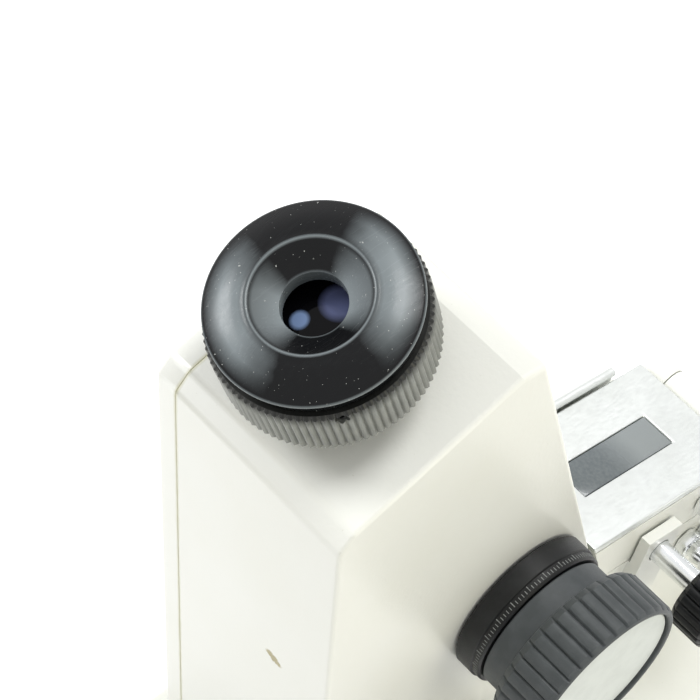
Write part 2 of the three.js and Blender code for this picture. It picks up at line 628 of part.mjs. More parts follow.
function makeIndexDrive() {
  const toothWidth = Math.PI * INDEX.pitchRadius * 2 / INDEX.teeth * toothWidthShare;
  const outer = INDEX.pitchRadius + TOOTH_ADDENDUM;
  const root = INDEX.pitchRadius - TOOTH_ADDENDUM - GAP;
  const outline = gearPoints(INDEX.teeth, outer, root, toothWidth, INDEX.pitchRadius);
  const half = Math.PI / INDEX.teeth;
  const cos = Math.cos(half);
  const sin = Math.sin(half);
  const meshed = outline.map(([p, q]) => [p * cos - q * sin, p * sin + q * cos]);
  const pinion = gearAtX(meshed, SECTOR.x - GAP, SECTOR.thick + WIDE_GAP, indexAxis);
  const shaftEnd = HOUSING.right + INDEX.knobStart + INDEX.knobDepth / 2;
  const shaft = crossRod(SHAFT.radius, indexAxis, SECTOR.x, shaftEnd, COARSE);
  addPart('index_pinion_shaft', join(pinion, shaft), 'steel');
  const start = INDEX.knobStart;
  const end = start + INDEX.knobDepth;
  const grip = INDEX.knobRadius;
  const neck = grip - KNOB.bevel;
  const ribbed = plateZ(starPoints(INDEX.ribs, grip, grip - KNOB.ribDepth, ribFlatShare), start, end);
  const limit = turned([
    [0, start], [neck, start], [grip, start + KNOB.bevel],
    [grip, end - KNOB.bevel], [neck, end], [0, end],
  ], FINE);
  const bore = rod(SHAFT.radius + GAP, -OVERRUN, start + INDEX.knobDepth / 2 + GAP, COARSE);
  addPart('index_knob', outward(cut(common(ribbed, limit), bore), indexAxis), 'blackSatin');
}

function polar(radius, angle) {
  return [radius * Math.cos(angle), radius * Math.sin(angle)];
}

function arcPoints(radius, from, to, steps) {
  const points = [];
  for (let i = 0; i <= steps; i += 1) {
    points.push(polar(radius, from + (to - from) * i / steps));
  }
  return points;
}

const axleCentre = [AXLE.y, AXLE.z];

function axleWay() {
  return crossRod(AXLE.radius + GAP, axleCentre, HOUSING.left, HOUSING.right);
}

function makeMirrorAxle() {
  const start = HOUSING.left + AXLE.end - SIDE_COVER.thick / 2;
  const end = HOUSING.right - HOUSING.wall / 2 - AXLE.end;
  addPart('mirror_axle', crossRod(AXLE.radius, axleCentre, start, end), 'steel');
  const { width, length, thick, holder, turn } = MIRROR;
  const left = scopeX - width / 2;
  const right = left + width;
  const hub = AXLE.radius + holder;
  const block = box(left, right, -hub, hub, -hub, hub);
  const tray = box(left, right, -length / 2, length / 2, AXLE.radius + GAP, hub);
  const carrier = join(block, tray).rotateX(turn).translate(0, ...axleCentre);
  addPart('mirror_holder', cut(carrier, axleWay()), 'blackSatin');
  const glass = box(left, right, -length / 2, length / 2, hub + GAP, hub + GAP + thick);
  addPart('swing_mirror', glass.rotateX(turn).translate(0, ...axleCentre), 'mirror');
}

function makeSectorGear() {
  const outer = SECTOR.pitchRadius + TOOTH_ADDENDUM;
  const root = SECTOR.pitchRadius - TOOTH_ADDENDUM - GAP;
  const toothWidth = 2 * Math.PI * INDEX.pitchRadius / INDEX.teeth * toothWidthShare;
  const half = toothWidth / 2 / SECTOR.pitchRadius;
  const pitch = 2 * Math.PI / SECTOR.teeth;
  const count = Math.round(SECTOR.spread / pitch);
  const points = [];
  for (let i = -count; i <= count; i += 1) {
    const angle = Math.PI + i * pitch;
    points.push(polar(root, angle - half * toothRootShare), polar(outer, angle - half * toothTipShare));
    points.push(polar(outer, angle + half * toothTipShare), polar(root, angle + half * toothRootShare));
  }
  points.push(...arcPoints(SECTOR.hub, -Math.PI / 3, Math.PI / 3, 4));
  const body = plateX(points, SECTOR.x, SECTOR.x + SECTOR.thick).translate(0, ...axleCentre);
  addPart('sector_gear', cut(body, axleWay()), 'brass');
}

function makeScale() {
  const aim = Math.atan2(SCALE.aimZ - AXLE.z, SCALE.aimY - AXLE.y);
  const low = aim - SCALE.half;
  const high = aim + SCALE.half;
  const end = SCALE.x + SCALE.thick;
  const hubArc = arcPoints(SECTOR.hub, high + Math.PI / 3, low + Math.PI * 5 / 3, 8);
  const armPoints = [...arcPoints(SCALE.inner, low, high, 6), ...hubArc];
  const arm = plateX(armPoints, SCALE.x, end).translate(0, ...axleCentre);
  addPart('scale_arm', cut(arm, axleWay()), 'brass');
  const outerArc = arcPoints(SCALE.outer, low, high, 8);
  const innerArc = arcPoints(SCALE.inner + GAP, high, low, 8);
  const plate = plateX([...outerArc, ...innerArc], SCALE.x, end).translate(0, ...axleCentre);
  addPart('scale_plate', plate, 'glass');
}

// Scale light: a turnable condenser on the left cover
function makeCondenser() {
  const outer = HOUSING.left - SIDE_COVER.thick;
  const aim = [SCALE.aimY, SCALE.aimZ];
  const from = outer - GAP - CONDENSER.depth;
  const shell = crossRod(CONDENSER.radius, aim, from, outer - GAP, FINE);
  const bore = crossRod(CONDENSER.bore, aim, from + CONDENSER.seat, outer + OVERRUN);
  const [y, z] = aim;
  const half = CONDENSER.window / 2;
  const past = z + CONDENSER.radius + OVERRUN;
  const window = box(from + CONDENSER.seat, outer - CONDENSER.lip, y - half, y + half, z, past);
  addPart('condenser_turret', cut(shell, bore, window), 'blackSatin');
  const glass = lens(CONDENSER.bore - GAP, 0, SIDE_COVER.thick - CONDENSER.lens / 2, CONDENSER.lens / 2);
  const placed = alongX(glass).translate(outer + GAP, ...aim);
  addPart('condenser_lens', placed, 'glass');
}

// Prism block: both seats are jackets around their prisms, joined by a pin at the rear
function slopeFront(z, extra = 0) {
  const lean = Math.tan(HOUSING.platformSlope + EYE.lean);
  return BLOCK.lead - z * lean + extra;
}

function leaningBlock(left, right, back, z0, z1) {
  return plateX([[slopeFront(z0), z0], [back, z0], [back, z1], [slopeFront(z1), z1]], left, right);
}

function knuckleBar(x0, x1, radius = BLOCK.knuckle) {
  return crossRod(radius, [BLOCK.pivotY, BLOCK.pivotZ], x0, x1);
}

const blockEnd = Math.max(HOUSING.platform, BLOCK.pivotY + BLOCK.knuckle);
const reflectorAxis = [blockEnd + REFLECTOR.behind, REFLECTOR.z];

function makeRefractionSeat() {
  const { left, right, seatTop, pivotY, knuckle, lug } = BLOCK;
  const back = pivotY + knuckle;
  const body = leaningBlock(left, right, back, GAP, seatTop);
  const legFor = (x0, x1) => {
    const leg = box(x0, x1, pivotY - knuckle / 2, back, GAP, BLOCK.pivotZ);
    return join(knuckleBar(x0, x1), leg);
  };
  const legs = [legFor(left, left + lug), legFor(right - lug, right)];
  const earEnd = right + GAP + LOCK.ear;
  const earFrom = LOCK.y - LOCK.earHalf;
  const earTo = LOCK.y + LOCK.earHalf;
  const ear = box(right - LOCK.ear, earEnd, earFrom, earTo, LOCK.earLift, seatTop);
  const tab = box(right + WIDE_GAP, earEnd, earFrom, earTo, seatTop / 2, LOCK.z + LOCK.earHalf);
  const stemWay = crossRod(LOCK.stem + GAP, [LOCK.y, LOCK.z], right, earEnd + OVERRUN);
  const half = PRISM.width / 2 + GAP;
  const prismFrom = PRISM.start - GAP;
  const prismTo = PRISM.end + GAP;
  const pocketTop = seatTop + OVERRUN;
  const pocket = box(scopeX - half, scopeX + half, prismFrom, prismTo, PRISM.floor, pocketTop);
  const portX = scopeX - PORT.width / 2;
  const portEnd = portX + PORT.width;
  const port = box(portX, portEnd, PORT.start, PORT.end, -OVERRUN, PRISM.floor + GAP);
  const pinWay = knuckleBar(left - OVERRUN, right + OVERRUN, BLOCK.pin + GAP);
  const mirrorEar = (x0, x1) => {
    const bar = box(x0, x1, pivotY, reflectorAxis[0], GAP, REFLECTOR.z + REFLECTOR.ear);
    return join(bar, crossRod(REFLECTOR.ear, reflectorAxis, x0, x1));
  };
  legs.push(mirrorEar(left, left + REFLECTOR.ear), mirrorEar(right - REFLECTOR.ear, right));
  const pastLeft = left - OVERRUN;
  const mirrorWay = crossRod(REFLECTOR.pin + GAP, reflectorAxis, pastLeft, right + OVERRUN);
  const solid = cut(join(body, ...legs, ear, tab), stemWay, pocket, port, pinWay, mirrorWay);
  addPart('refraction_seat', solid, 'enamel', sloping);
  const prismFoot = PRISM.floor + GAP;
  const points = [
    [PRISM.start, PRISM.exit], [PRISM.start + PRISM.exit - GAP, prismFoot],
    [PRISM.end - PRISM.exit, prismFoot], [PRISM.end, PRISM.exit],
    [PRISM.end, seatTop], [PRISM.start, seatTop],
  ];
  const prismX = scopeX - PRISM.width / 2;
  addPart('refraction_prism', plateX(points, prismX, prismX + PRISM.width), 'glass', sloping);
}

function makeEntrySeat() {
  const { left, right, length, seatTop, entryTop, top, lug, knuckle } = BLOCK;
  const bottom = seatTop + GAP;
  const body = leaningBlock(left, right, length, bottom, entryTop);
  const barrelFrom = left + lug + GAP;
  const barrelTo = right - lug - GAP;
  const barrel = knuckleBar(barrelFrom, barrelTo);
  const low = BLOCK.pivotZ - knuckle / 2;
  const high = BLOCK.pivotZ + knuckle / 2;
  const bridge = box(barrelFrom, barrelTo, length - knuckle, BLOCK.pivotY, low, high);
  const pinWay = knuckleBar(left, right, BLOCK.pin + GAP);
  const half = WINDOW.width / 2;
  const x0 = WINDOW.centre - half;
  const x1 = WINDOW.centre + half;
  const pocket = box(x0, x1, WINDOW.start, WINDOW.end, bottom - OVERRUN, entryTop + OVERRUN);
  addPart('entry_seat', cut(join(body, barrel, bridge), pinWay, pocket), 'enamel', sloping);
  const prismTop = entryTop - GAP;
  const prismBottom = bottom + WIDE_GAP;
  const prismFrom = WINDOW.start + GAP;
  const prism = box(x0 + GAP, x1 - GAP, prismFrom, WINDOW.end - GAP, prismBottom, prismTop);
  addPart('entry_prism', prism, 'glass', sloping);
  const plate = leaningBlock(left, right, length, entryTop + GAP, top);
  const window = box(x0, x1, WINDOW.start, WINDOW.end, entryTop, top + OVERRUN);
  addPart('entry_top_plate', cut(plate, window), 'silver', sloping);
  const pin = knuckleBar(left + GAP, right - GAP, BLOCK.pin);
  addPart('prism_hinge_pin', pin, 'steel', sloping);
}

// Light shield: a flap hinged on the plate's left edge, hanging open beside the block
function makeLightShield() {
  const { left, top } = BLOCK;
  const barRadius = SHIELD.knuckle / 2 + GAP;
  const axisX = left - barRadius - GAP;
  const axisZ = top + SHIELD.thick / 2 + GAP;
  const low = axisZ - SHIELD.drop;
  const turn = (BLOCK.lead - SHIELD.start) / Math.tan(HOUSING.platformSlope + EYE.lean);
  const outline = [
    [slopeFront(low), low], [SHIELD.end, low], [SHIELD.end, axisZ],
    [SHIELD.start, axisZ], [SHIELD.start, turn],
  ];
  const leaf = plateX(outline, axisX - SHIELD.thick / 2, axisX + SHIELD.thick / 2);
  const bar = rod(barRadius, SHIELD.start, SHIELD.end, COARSE).rotateX(-Math.PI / 2);
  addPart('light_shield', join(leaf, bar.translate(axisX, 0, axisZ)), 'silver', sloping);
}

// Lock hand wheel: its stem runs through the ear and nips the upper seat
function makeLock() {
  const tip = BLOCK.right + GAP;
  const stemEnd = tip + GAP + LOCK.ear + LOCK.stemReach;
  const place = [LOCK.y, LOCK.z];
  addPart('lock_stem', crossRod(LOCK.stem, place, tip, stemEnd + LOCK.knobDepth / 2), 'chrome', sloping);
  const grip = starPoints(LOCK.ribs, LOCK.knob, LOCK.knob - KNOB.ribDepth, ribFlatShare);
  const knob = alongX(plateZ(grip, stemEnd, stemEnd + LOCK.knobDepth)).translate(0, ...place);
  const way = crossRod(LOCK.stem + GAP, place, stemEnd - OVERRUN, stemEnd + LOCK.knobDepth / 2 + GAP);
  addPart('lock_knob', cut(knob, way), 'blackSatin', sloping);
}

// Water nozzles of both jackets
function makeNozzles() {
  const names = { lower: NOZZLE.low, upper: NOZZLE.high };
  for (const [level, z] of Object.entries(names)) {
    for (const [place, step] of [['front', 0], ['rear', 1]]) {
      const y = NOZZLE.start + NOZZLE.pitch * step;
      const profile = [
        [0, 0], [NOZZLE.hex, 0], [NOZZLE.hex, NOZZLE.hexDepth], [NOZZLE.radius, NOZZLE.hexDepth],
        [NOZZLE.radius, NOZZLE.reach - NOZZLE.hexDepth], [NOZZLE.barb, NOZZLE.reach - NOZZLE.hexDepth],
        [NOZZLE.radius, NOZZLE.reach], [0, NOZZLE.reach],
      ];
      const bore = rod(NOZZLE.bore, NOZZLE.hexDepth, NOZZLE.reach + OVERRUN, COARSE);
      const nozzle = cut(turned(profile, COARSE), bore);
      const placed = alongX(nozzle).translate(BLOCK.right + GAP, y, z);
      addPart(`${level}_nozzle_${place}`, placed, 'chrome', sloping);
    }
  }
}

// Thermometer on its elbow, behind the block
function makeThermometer() {
  const { x, y, radius, bulb, top, foot, seat, seatTop, elbow, leave, reach } = THERMOMETER;
  const back = BLOCK.pivotY + BLOCK.knuckle + GAP;
  const legX = BLOCK.right - BLOCK.lug / 2;
  const start = new THREE.Vector3(legX, back, leave).applyMatrix4(sloping.matrixWorld);
  const out = new THREE.Vector3(legX, back + reach, leave).applyMatrix4(sloping.matrixWorld);
  const end = new THREE.Vector3(x, y, foot - seat / 2);
  const path = new THREE.CatmullRomCurve3([start, out, end]);
  const outline = new THREE.Shape().absarc(0, 0, elbow, 0, 2 * Math.PI);
  const settings = { steps: 10, curveSegments: 5, extrudePath: path, bevelEnabled: false };
  const bend = new THREE.ExtrudeGeometry(outline, settings);
  const cup = rod(seat, foot - seat, seatTop).translate(x, y, 0);
  const way = rod(radius + GAP, foot, seatTop + OVERRUN).translate(x, y, 0);
  addPart('thermometer_seat', cut(join(bend, cup), way), 'chrome');
  const profile = [[0, foot + GAP], [bulb, foot + GAP], [bulb, foot + seat], [radius, foot + seat * 2]];
  profile.push([radius, top - radius], [radius / 2, top], [0, top]);
  addPart('thermometer', turned(profile, COARSE).translate(x, y, 0), 'glass');
}

// Reflector that throws light back up into the lower prism, hanging from its own pin
function makeReflector() {
  const { width, drop, thick, glass, pin, rim } = REFLECTOR;
  const pivot = new THREE.Vector3(0, ...reflectorAxis).applyMatrix4(sloping.matrixWorld);
  const { y, z } = pivot;
  const x0 = scopeX - width / 2;
  const x1 = scopeX + width / 2;
  const leaf = box(x0, x1, y - thick / 2, y + thick / 2, z - drop, z);
  const rear = y + thick / 2;
  const tray = box(x0 + rim, x1 - rim, rear - glass, rear + OVERRUN, z - drop + rim, z - rim * 2);
  const bar = crossRod(pin * 2, [y, z], x0, x1);
  const way = crossRod(pin + GAP, [y, z], x0 - OVERRUN, x1 + OVERRUN);
  addPart('reflector_frame', cut(join(leaf, bar), tray, way), 'blackSatin');
  const inset = rim + GAP;
  const paneFront = rear - glass + GAP;
  const paneTop = z - rim * 2 - GAP;
  const pane = box(x0 + inset, x1 - inset, paneFront, rear, z - drop + inset, paneTop);
  addPart('reflector_glass', pane, 'mirror');
  addPart('reflector_pin', crossRod(pin, [y, z], BLOCK.left + GAP, BLOCK.right - GAP), 'steel');
}

makeBase();
makeFeet();
makeHousing();
makeSideCover();
makeSocket();
makeLensBarrel();
makeFocusRing();
makeEyeCap();
makeTelescope();
makeCompensator();
makeOpticsFrame();
makeDispersionShaft();
makeDispersionKnob();
makeIndexDrive();
makeMirrorAxle();
makeSectorGear();
makeScale();
makeCondenser();
makeRefractionSeat();
makeEntrySeat();
makeLightShield();
makeLock();
makeNozzles();
makeThermometer();
makeReflector();

export default model;
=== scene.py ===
# %% [markdown]
# # A bench refractometer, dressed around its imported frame
# The instrument is a slim cream casting on a flat base. A leaning eyepiece sits on top, and
# a pair of jacketed prisms lies behind. The frame holds every solid at its real place, so
# this file only gives the surfaces their finish and the round parts their smooth outlines.

# %% Load the frame
import math
import random

import bmesh
import bpy
from mathutils import Matrix, Vector


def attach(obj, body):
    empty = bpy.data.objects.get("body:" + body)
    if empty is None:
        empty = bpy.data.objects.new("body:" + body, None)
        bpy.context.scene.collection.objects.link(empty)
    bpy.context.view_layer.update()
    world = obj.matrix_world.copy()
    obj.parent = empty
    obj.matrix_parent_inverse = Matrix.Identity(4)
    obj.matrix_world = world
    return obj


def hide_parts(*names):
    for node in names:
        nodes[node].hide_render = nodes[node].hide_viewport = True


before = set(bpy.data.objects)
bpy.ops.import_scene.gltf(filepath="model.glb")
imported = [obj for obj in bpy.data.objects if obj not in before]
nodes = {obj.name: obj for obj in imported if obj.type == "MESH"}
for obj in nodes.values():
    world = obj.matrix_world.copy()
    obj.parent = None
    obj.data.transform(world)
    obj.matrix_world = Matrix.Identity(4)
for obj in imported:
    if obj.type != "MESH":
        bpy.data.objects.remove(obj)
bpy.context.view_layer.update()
MM = 0.001

# %% [markdown]
# ## The three places that round parts are built in
# A lathe part is easiest to draw along its own axis. Each matrix here carries such a drawing
# to its place: on the eyepiece axis, on a cross shaft of the right wall, or in the sloping
# block. The values repeat the real layout, in millimetres.

# %% Places
eye_point = Vector((-10, -52, 231)) * MM
eye_lean = math.radians(16)
block_slope = math.radians(13)
slope_foot = Vector((0, 23.152, 70.497)) * MM
knob_centre = Vector((19, -12.386, 116.067)) * MM
index_centre = Vector((19, -29.4, 50.2)) * MM
on_eye = Matrix.Translation(eye_point) @ Matrix.Rotation(eye_lean, 4, "X")
on_block = Matrix.Translation(slope_foot) @ Matrix.Rotation(-block_slope, 4, "X")
to_right = Matrix.Rotation(math.radians(90), 4, "Y")
print("eyepiece leans", round(math.degrees(eye_lean)), "degrees")

# %% [markdown]
# ## One function for colour, one for a node
# Colours are picked as web colours, which are stored with a curve, so they are straightened
# before they go into a shader. A node tree is easier to read when each node is one line, so
# one small function adds a node, sets it up and links it. An input may be a plain value, a
# web colour, a socket, or another node, which stands for its first output in use.

# %% Colour and node helpers
FIRST, SECOND = 6, 7


def linear(code):
    channels = [int(code[i:i + 2], 16) / 255 for i in (1, 3, 5)]
    straight = [c / 12.92 if c <= 0.04045 else ((c + 0.055) / 1.055) ** 2.4 for c in channels]
    return (*straight, 1.0)


def feed(tree, node, inputs):
    for key, value in inputs.items():
        if isinstance(value, bpy.types.Node):
            value = next(socket for socket in value.outputs if socket.enabled)
        if isinstance(value, bpy.types.NodeSocket):
            tree.links.new(value, node.inputs[key])
        else:
            node.inputs[key].default_value = linear(value) if isinstance(value, str) else value


def add(tree, kind, inputs, stops=(), **settings):
    node = tree.nodes.new(kind)
    for key, value in settings.items():
        setattr(node, key, value)
    feed(tree, node, inputs)
    points = node.color_ramp.elements if stops else []
    while len(points) < len(stops):
        points.new(0.5)
    for point, (at, shade) in zip(points, stops):
        point.position = at
        point.color = linear(shade) if isinstance(shade, str) else (shade, shade, shade, 1)
    return node


def new_material(name, fixed):
    material = bpy.data.materials.new(name)
    material.use_nodes = True
    tree = material.node_tree
    shader = tree.nodes["Principled BSDF"]
    feed(tree, shader, fixed)
    place = add(tree, "ShaderNodeTexCoord", {}).outputs["Object"]
    return material, tree, shader, place


print("a Mix node's two colours are its inputs", FIRST, "and", SECOND)

# %% [markdown]
# ## Three patterns that most finishes share
# Wear and dirt come in patches, which are a noise cut by a ramp. Their outlines are never
# clean, so a distance gets a little noise added before it is used. A spot is then all that
# lies within a wavering distance of one point. Each size is in millimetres, from the real
# thing, and Object coordinates keep every pattern fixed to its piece.

# %% Patterns
def patches(tree, place, size_mm, detail, *stops):
    look = {"Vector": place, "Scale": 1 / (size_mm * MM), "Detail": detail}
    cloud = add(tree, "ShaderNodeTexNoise", look)
    return add(tree, "ShaderNodeValToRGB", {"Fac": cloud}, stops)


def wavered(tree, place, distance, size_mm, detail, depth):
    look = {"Vector": place, "Scale": 1 / (size_mm * MM), "Detail": detail}
    cloud = add(tree, "ShaderNodeTexNoise", look)
    return add(tree, "ShaderNodeMath", {0: cloud, 1: depth, 2: distance}, operation="MULTIPLY_ADD")


def near_point(tree, place, point_mm, inner, outer, ragged=0.0):
    gap = add(tree, "ShaderNodeVectorMath", {0: place, 1: point_mm * MM}, operation="DISTANCE")
    edge = wavered(tree, place, gap, 0.8, 3, ragged * MM)
    fade = {"Value": edge, "From Min": inner * MM, "From Max": outer * MM, "To Min": 1.0, "To Max": 0.0}
    return add(tree, "ShaderNodeMapRange", fade)


print("patterns: patches, wavered distances, spots")

# %% [markdown]
# ## Baked enamel
# The castings wear sprayed, baked enamel. It dries with a faint orange-peel ripple about a
# millimetre across, which the eye reads as a soft break in each reflection. Handling leaves
# warm, patchy grime, and dirt settles into the seam where the side cover meets the casting.
# The seam's dirt is drawn from the object's own X coordinate, so it stays on the seam. It
# stops at the top rear corner, where the cover is cut back and the casting lies bare. One
# chip in the front, drawn as three spots, and one brown stain on its edge complete the wear.
# Every layer of dirt has a mask and a tone, and one loop lays them over the clean enamel.

# %% Enamel
seam_x = -29.5 * MM
bare_corner = Vector((-29.5, -18, 208.5))
front_y = -69.3
enamel_tone, grimy, specked, seam_dirt = "#edeee8", "#e4e4d6", "#b9b5a0", "#c3c096"
chipped, stained = "#a3986c", "#6b5836"
# Each spot has its place across and up, where it is full and where it ends, how far its
# outline wavers, and its tone.
wear_spots = (
    (1.0, 132.3, 1.4, 2.0, 1.2, chipped),
    (2.3, 131.8, 1.7, 2.3, 1.2, chipped),
    (3.8, 131.4, 1.2, 1.8, 1.2, chipped),
    (19, 196.8, 0.7, 1.2, 0.5, stained),
)


def dirty_seam(tree, place):
    split = add(tree, "ShaderNodeSeparateXYZ", {"Vector": place})
    side = add(tree, "ShaderNodeMath", {0: split.outputs["X"], 1: seam_x}, operation="SUBTRACT")
    off = add(tree, "ShaderNodeMath", {0: side}, operation="ABSOLUTE")
    edge = wavered(tree, place, off, 5, 4, 0.5 * MM)
    fade = {"Value": edge, "From Min": 0.25 * MM, "From Max": 1.0 * MM, "To Min": 0.65, "To Max": 0.0}
    dirt = add(tree, "ShaderNodeMapRange", fade)
    bare = near_point(tree, place, bare_corner, 4.5, 6)
    return add(tree, "ShaderNodeMath", {0: dirt, 1: bare}, operation="SUBTRACT", use_clamp=True)


def make_enamel(name, with_seam):
    glaze = {"Roughness": 0.38, "Coat Weight": 0.25, "Coat Roughness": 0.2}
    material, tree, shader, place = new_material(name, glaze)
    layers = [
        (patches(tree, place, 38, 4, (0.35, 0.0), (0.75, 0.3)), grimy),
        (patches(tree, place, 0.9, 2, (0.74, 0.0), (0.8, 0.25)), specked),
    ]
    if with_seam:
        layers.append((dirty_seam(tree, place), seam_dirt))
        for across, height, inner, outer, ragged, tone in wear_spots:
            spot = Vector((across, front_y, height))
            layers.append((near_point(tree, place, spot, inner, outer, ragged), tone))
    colour = enamel_tone
    for mask, tone in layers:
        shades = {"Factor": mask, FIRST: colour, SECOND: tone}
        colour = add(tree, "ShaderNodeMix", shades, data_type="RGBA")
    peel = {"Vector": place, "Scale": 1 / (1.1 * MM), "Detail": 2}
    ripple = add(tree, "ShaderNodeTexNoise", peel)
    relief = add(tree, "ShaderNodeBump", {"Height": ripple, "Distance": 0.05 * MM})
    feed(tree, shader, {"Base Color": colour, "Normal": relief})
    return material


enamel = make_enamel("baked_enamel", False)
enamel_housing = make_enamel("baked_enamel_seamed", True)
print("enamel:", enamel.name, enamel_housing.name)

# %% [markdown]
# ## Polished black phenolic
# The eyepiece cap is moulded black phenolic with dust specks and hair scratches. Two soft grey
# bands of painted reflection lie across it from side to side, and painted highlights run round
# its turned edges. The painted highlights go by the distance from the eyepiece axis, so each of
# their stops is a radius in millimetres, and the reflection bands go by the direction from that
# axis as well.
# The scratches are noise stretched along one direction. Real ones are finer than the render
# shows, so they are drawn about a millimetre apart.

# %% Cap black
eye_axis = on_eye.to_3x3() @ Vector((0, 0, 1))
# The direction that the two painted reflection bands lie across.
painted_reflection_side = on_eye.to_3x3() @ Vector((0.55, 0.835, 0))
cap_reach = 22
# Painted highlights round the cap's turned edges: a radius in millimetres and how pale it is there.
painted_edge_highlights = (
    (6.534, 0.5), (6.996, 0.0), (11.616, 0.0), (12.034, 0.8), (12.54, 0.0), (20.68, 0.0),
    (21.054, 0.8),
)
# Painted reflection bands: a radius in millimetres and how strong they are there.
painted_reflection_radii = ((7.04, 1.0), (11, 0.6), (11.66, 0.1), (13.64, 0.9), (17.16, 1.0), (20.46, 0.0))


def at_radii(tree, outward, radii):
    stops = [(radius / cap_reach, wear_and_sheen) for radius, wear_and_sheen in radii]
    return add(tree, "ShaderNodeValToRGB", {"Fac": outward}, stops)


# Two soft bands of painted reflection, one on each side of the eyepiece axis.
def painted_reflection_bands(tree, place, out):
    unit = add(tree, "ShaderNodeVectorMath", {0: out}, operation="NORMALIZE")
    side = add(tree, "ShaderNodeVectorMath", {0: unit, 1: painted_reflection_side}, operation="DOT_PRODUCT")
    either = add(tree, "ShaderNodeMath", {0: side}, operation="ABSOLUTE")
    cloudy = wavered(tree, place, either, 5, 4, 0.16)
    return add(tree, "ShaderNodeValToRGB", {"Fac": cloudy}, ((0.62, 0.0), (1.0, 0.9)))


def make_cap_black():
    material, tree, shader, place = new_material("polished_phenolic", {"Specular IOR Level": 0.22})
    out = add(tree, "ShaderNodeVectorMath", {0: place, 1: eye_point}, operation="SUBTRACT")
    across = add(tree, "ShaderNodeVectorMath", {0: out, 1: eye_axis}, operation="CROSS_PRODUCT")
    radius = add(tree, "ShaderNodeVectorMath", {0: across}, operation="LENGTH")
    share = {0: radius, 1: 1 / (cap_reach * MM)}
    outward = add(tree, "ShaderNodeMath", share, operation="MULTIPLY")
    # The painted reflection bands and the painted edge highlights lift the black to a pale grey.
    reflection_inputs = {0: painted_reflection_bands(tree, place, out), 1: at_radii(tree, outward, painted_reflection_radii)}
    painted_reflection = add(tree, "ShaderNodeMath", reflection_inputs, operation="MULTIPLY")
    both = {0: painted_reflection, 1: at_radii(tree, outward, painted_edge_highlights)}
    wear_and_sheen = add(tree, "ShaderNodeMath", both, operation="MAXIMUM")
    shades = {"Factor": wear_and_sheen, FIRST: "#0b0c0e", SECOND: "#838b8e"}
    base = add(tree, "ShaderNodeMix", shades, data_type="RGBA")
    dust = patches(tree, place, 0.5, 1, (0.755, 0.0), (0.78, 0.7))
    shades = {"Factor": dust, FIRST: base, SECOND: "#c4c6c2"}
    colour = add(tree, "ShaderNodeMix", shades, data_type="RGBA")
    along = add(tree, "ShaderNodeMapping", {"Vector": place, "Scale": (1, 0.05, 1)})
    scratches = patches(tree, along, 0.7, 3, (0.4, 0.2), (0.8, 0.36))
    feed(tree, shader, {"Base Color": colour, "Roughness": scratches})
    return material


phenolic = make_cap_black()
print("cap:", phenolic.name)

# %% [markdown]
# ## Satin blacks, greys and paint
# The tubes are black anodised aluminium, the knobs are greyed or dark mouldings, the drum's
# marks are faded paint and the feet are rubber. What they share is a fine matt grain, which
# spreads each highlight, and patches rubbed a little paler. One function makes them all from
# their tones and roughness. The real grain is too fine to show, so it is drawn 0.3 mm wide.

# %% Satin finishes
def make_satin(name, tone, wear_and_sheen, rough, metal):
    fixed = {"Metallic": metal, "Specular IOR Level": 0.3}
    material, tree, shader, place = new_material(name, fixed)
    patch = patches(tree, place, 4, 5, (0.4, 0.0), (0.7, 0.5))
    shades = {"Factor": patch, FIRST: tone, SECOND: wear_and_sheen}
    colour = add(tree, "ShaderNodeMix", shades, data_type="RGBA")
    look = {"Vector": place, "Scale": 1 / (0.3 * MM), "Detail": 3}
    grain = add(tree, "ShaderNodeTexNoise", look)
    stops = ((0.2, rough - 0.08), (0.8, rough + 0.1))
    gloss = add(tree, "ShaderNodeValToRGB", {"Fac": grain}, stops)
    relief = add(tree, "ShaderNodeBump", {"Height": grain, "Distance": 0.02 * MM})
    feed(tree, shader, {"Base Color": colour, "Roughness": gloss, "Normal": relief})
    return material


black_anodised = make_satin("black_anodised_aluminium", "#24272a", "#3c4042", 0.42, 0.0)
grey_moulding = make_satin("worn_grey_moulding", "#45494b", "#575b5d", 0.46, 0.0)
dark_moulding = make_satin("dark_moulding", "#131415", "#232526", 0.4, 0.0)
black_steel = make_satin("blackened_steel", "#0e0f10", "#1b1c1d", 0.5, 0.6)
pale_moulding = make_satin("pale_moulding", "#d6dbd8", "#c9cecb", 0.5, 0.0)
faded_paint = make_satin("faded_white_paint", "#8b8e8c", "#636664", 0.5, 0.0)
rubber = make_satin("black_rubber", "#1a1a1b", "#29292a", 0.85, 0.0)
print("satin finishes: 7")

# %% [markdown]
# ## Grey anodised aluminium
# Fingers have worn the focusing ring's anodising to a patchy bright grey. Under the cap, where
# fingers don't reach and the cap shades the ring, it is darkened with black grime and painted
# shade. This is drawn from the height along the eyepiece axis, so it turns and moves with the ring.

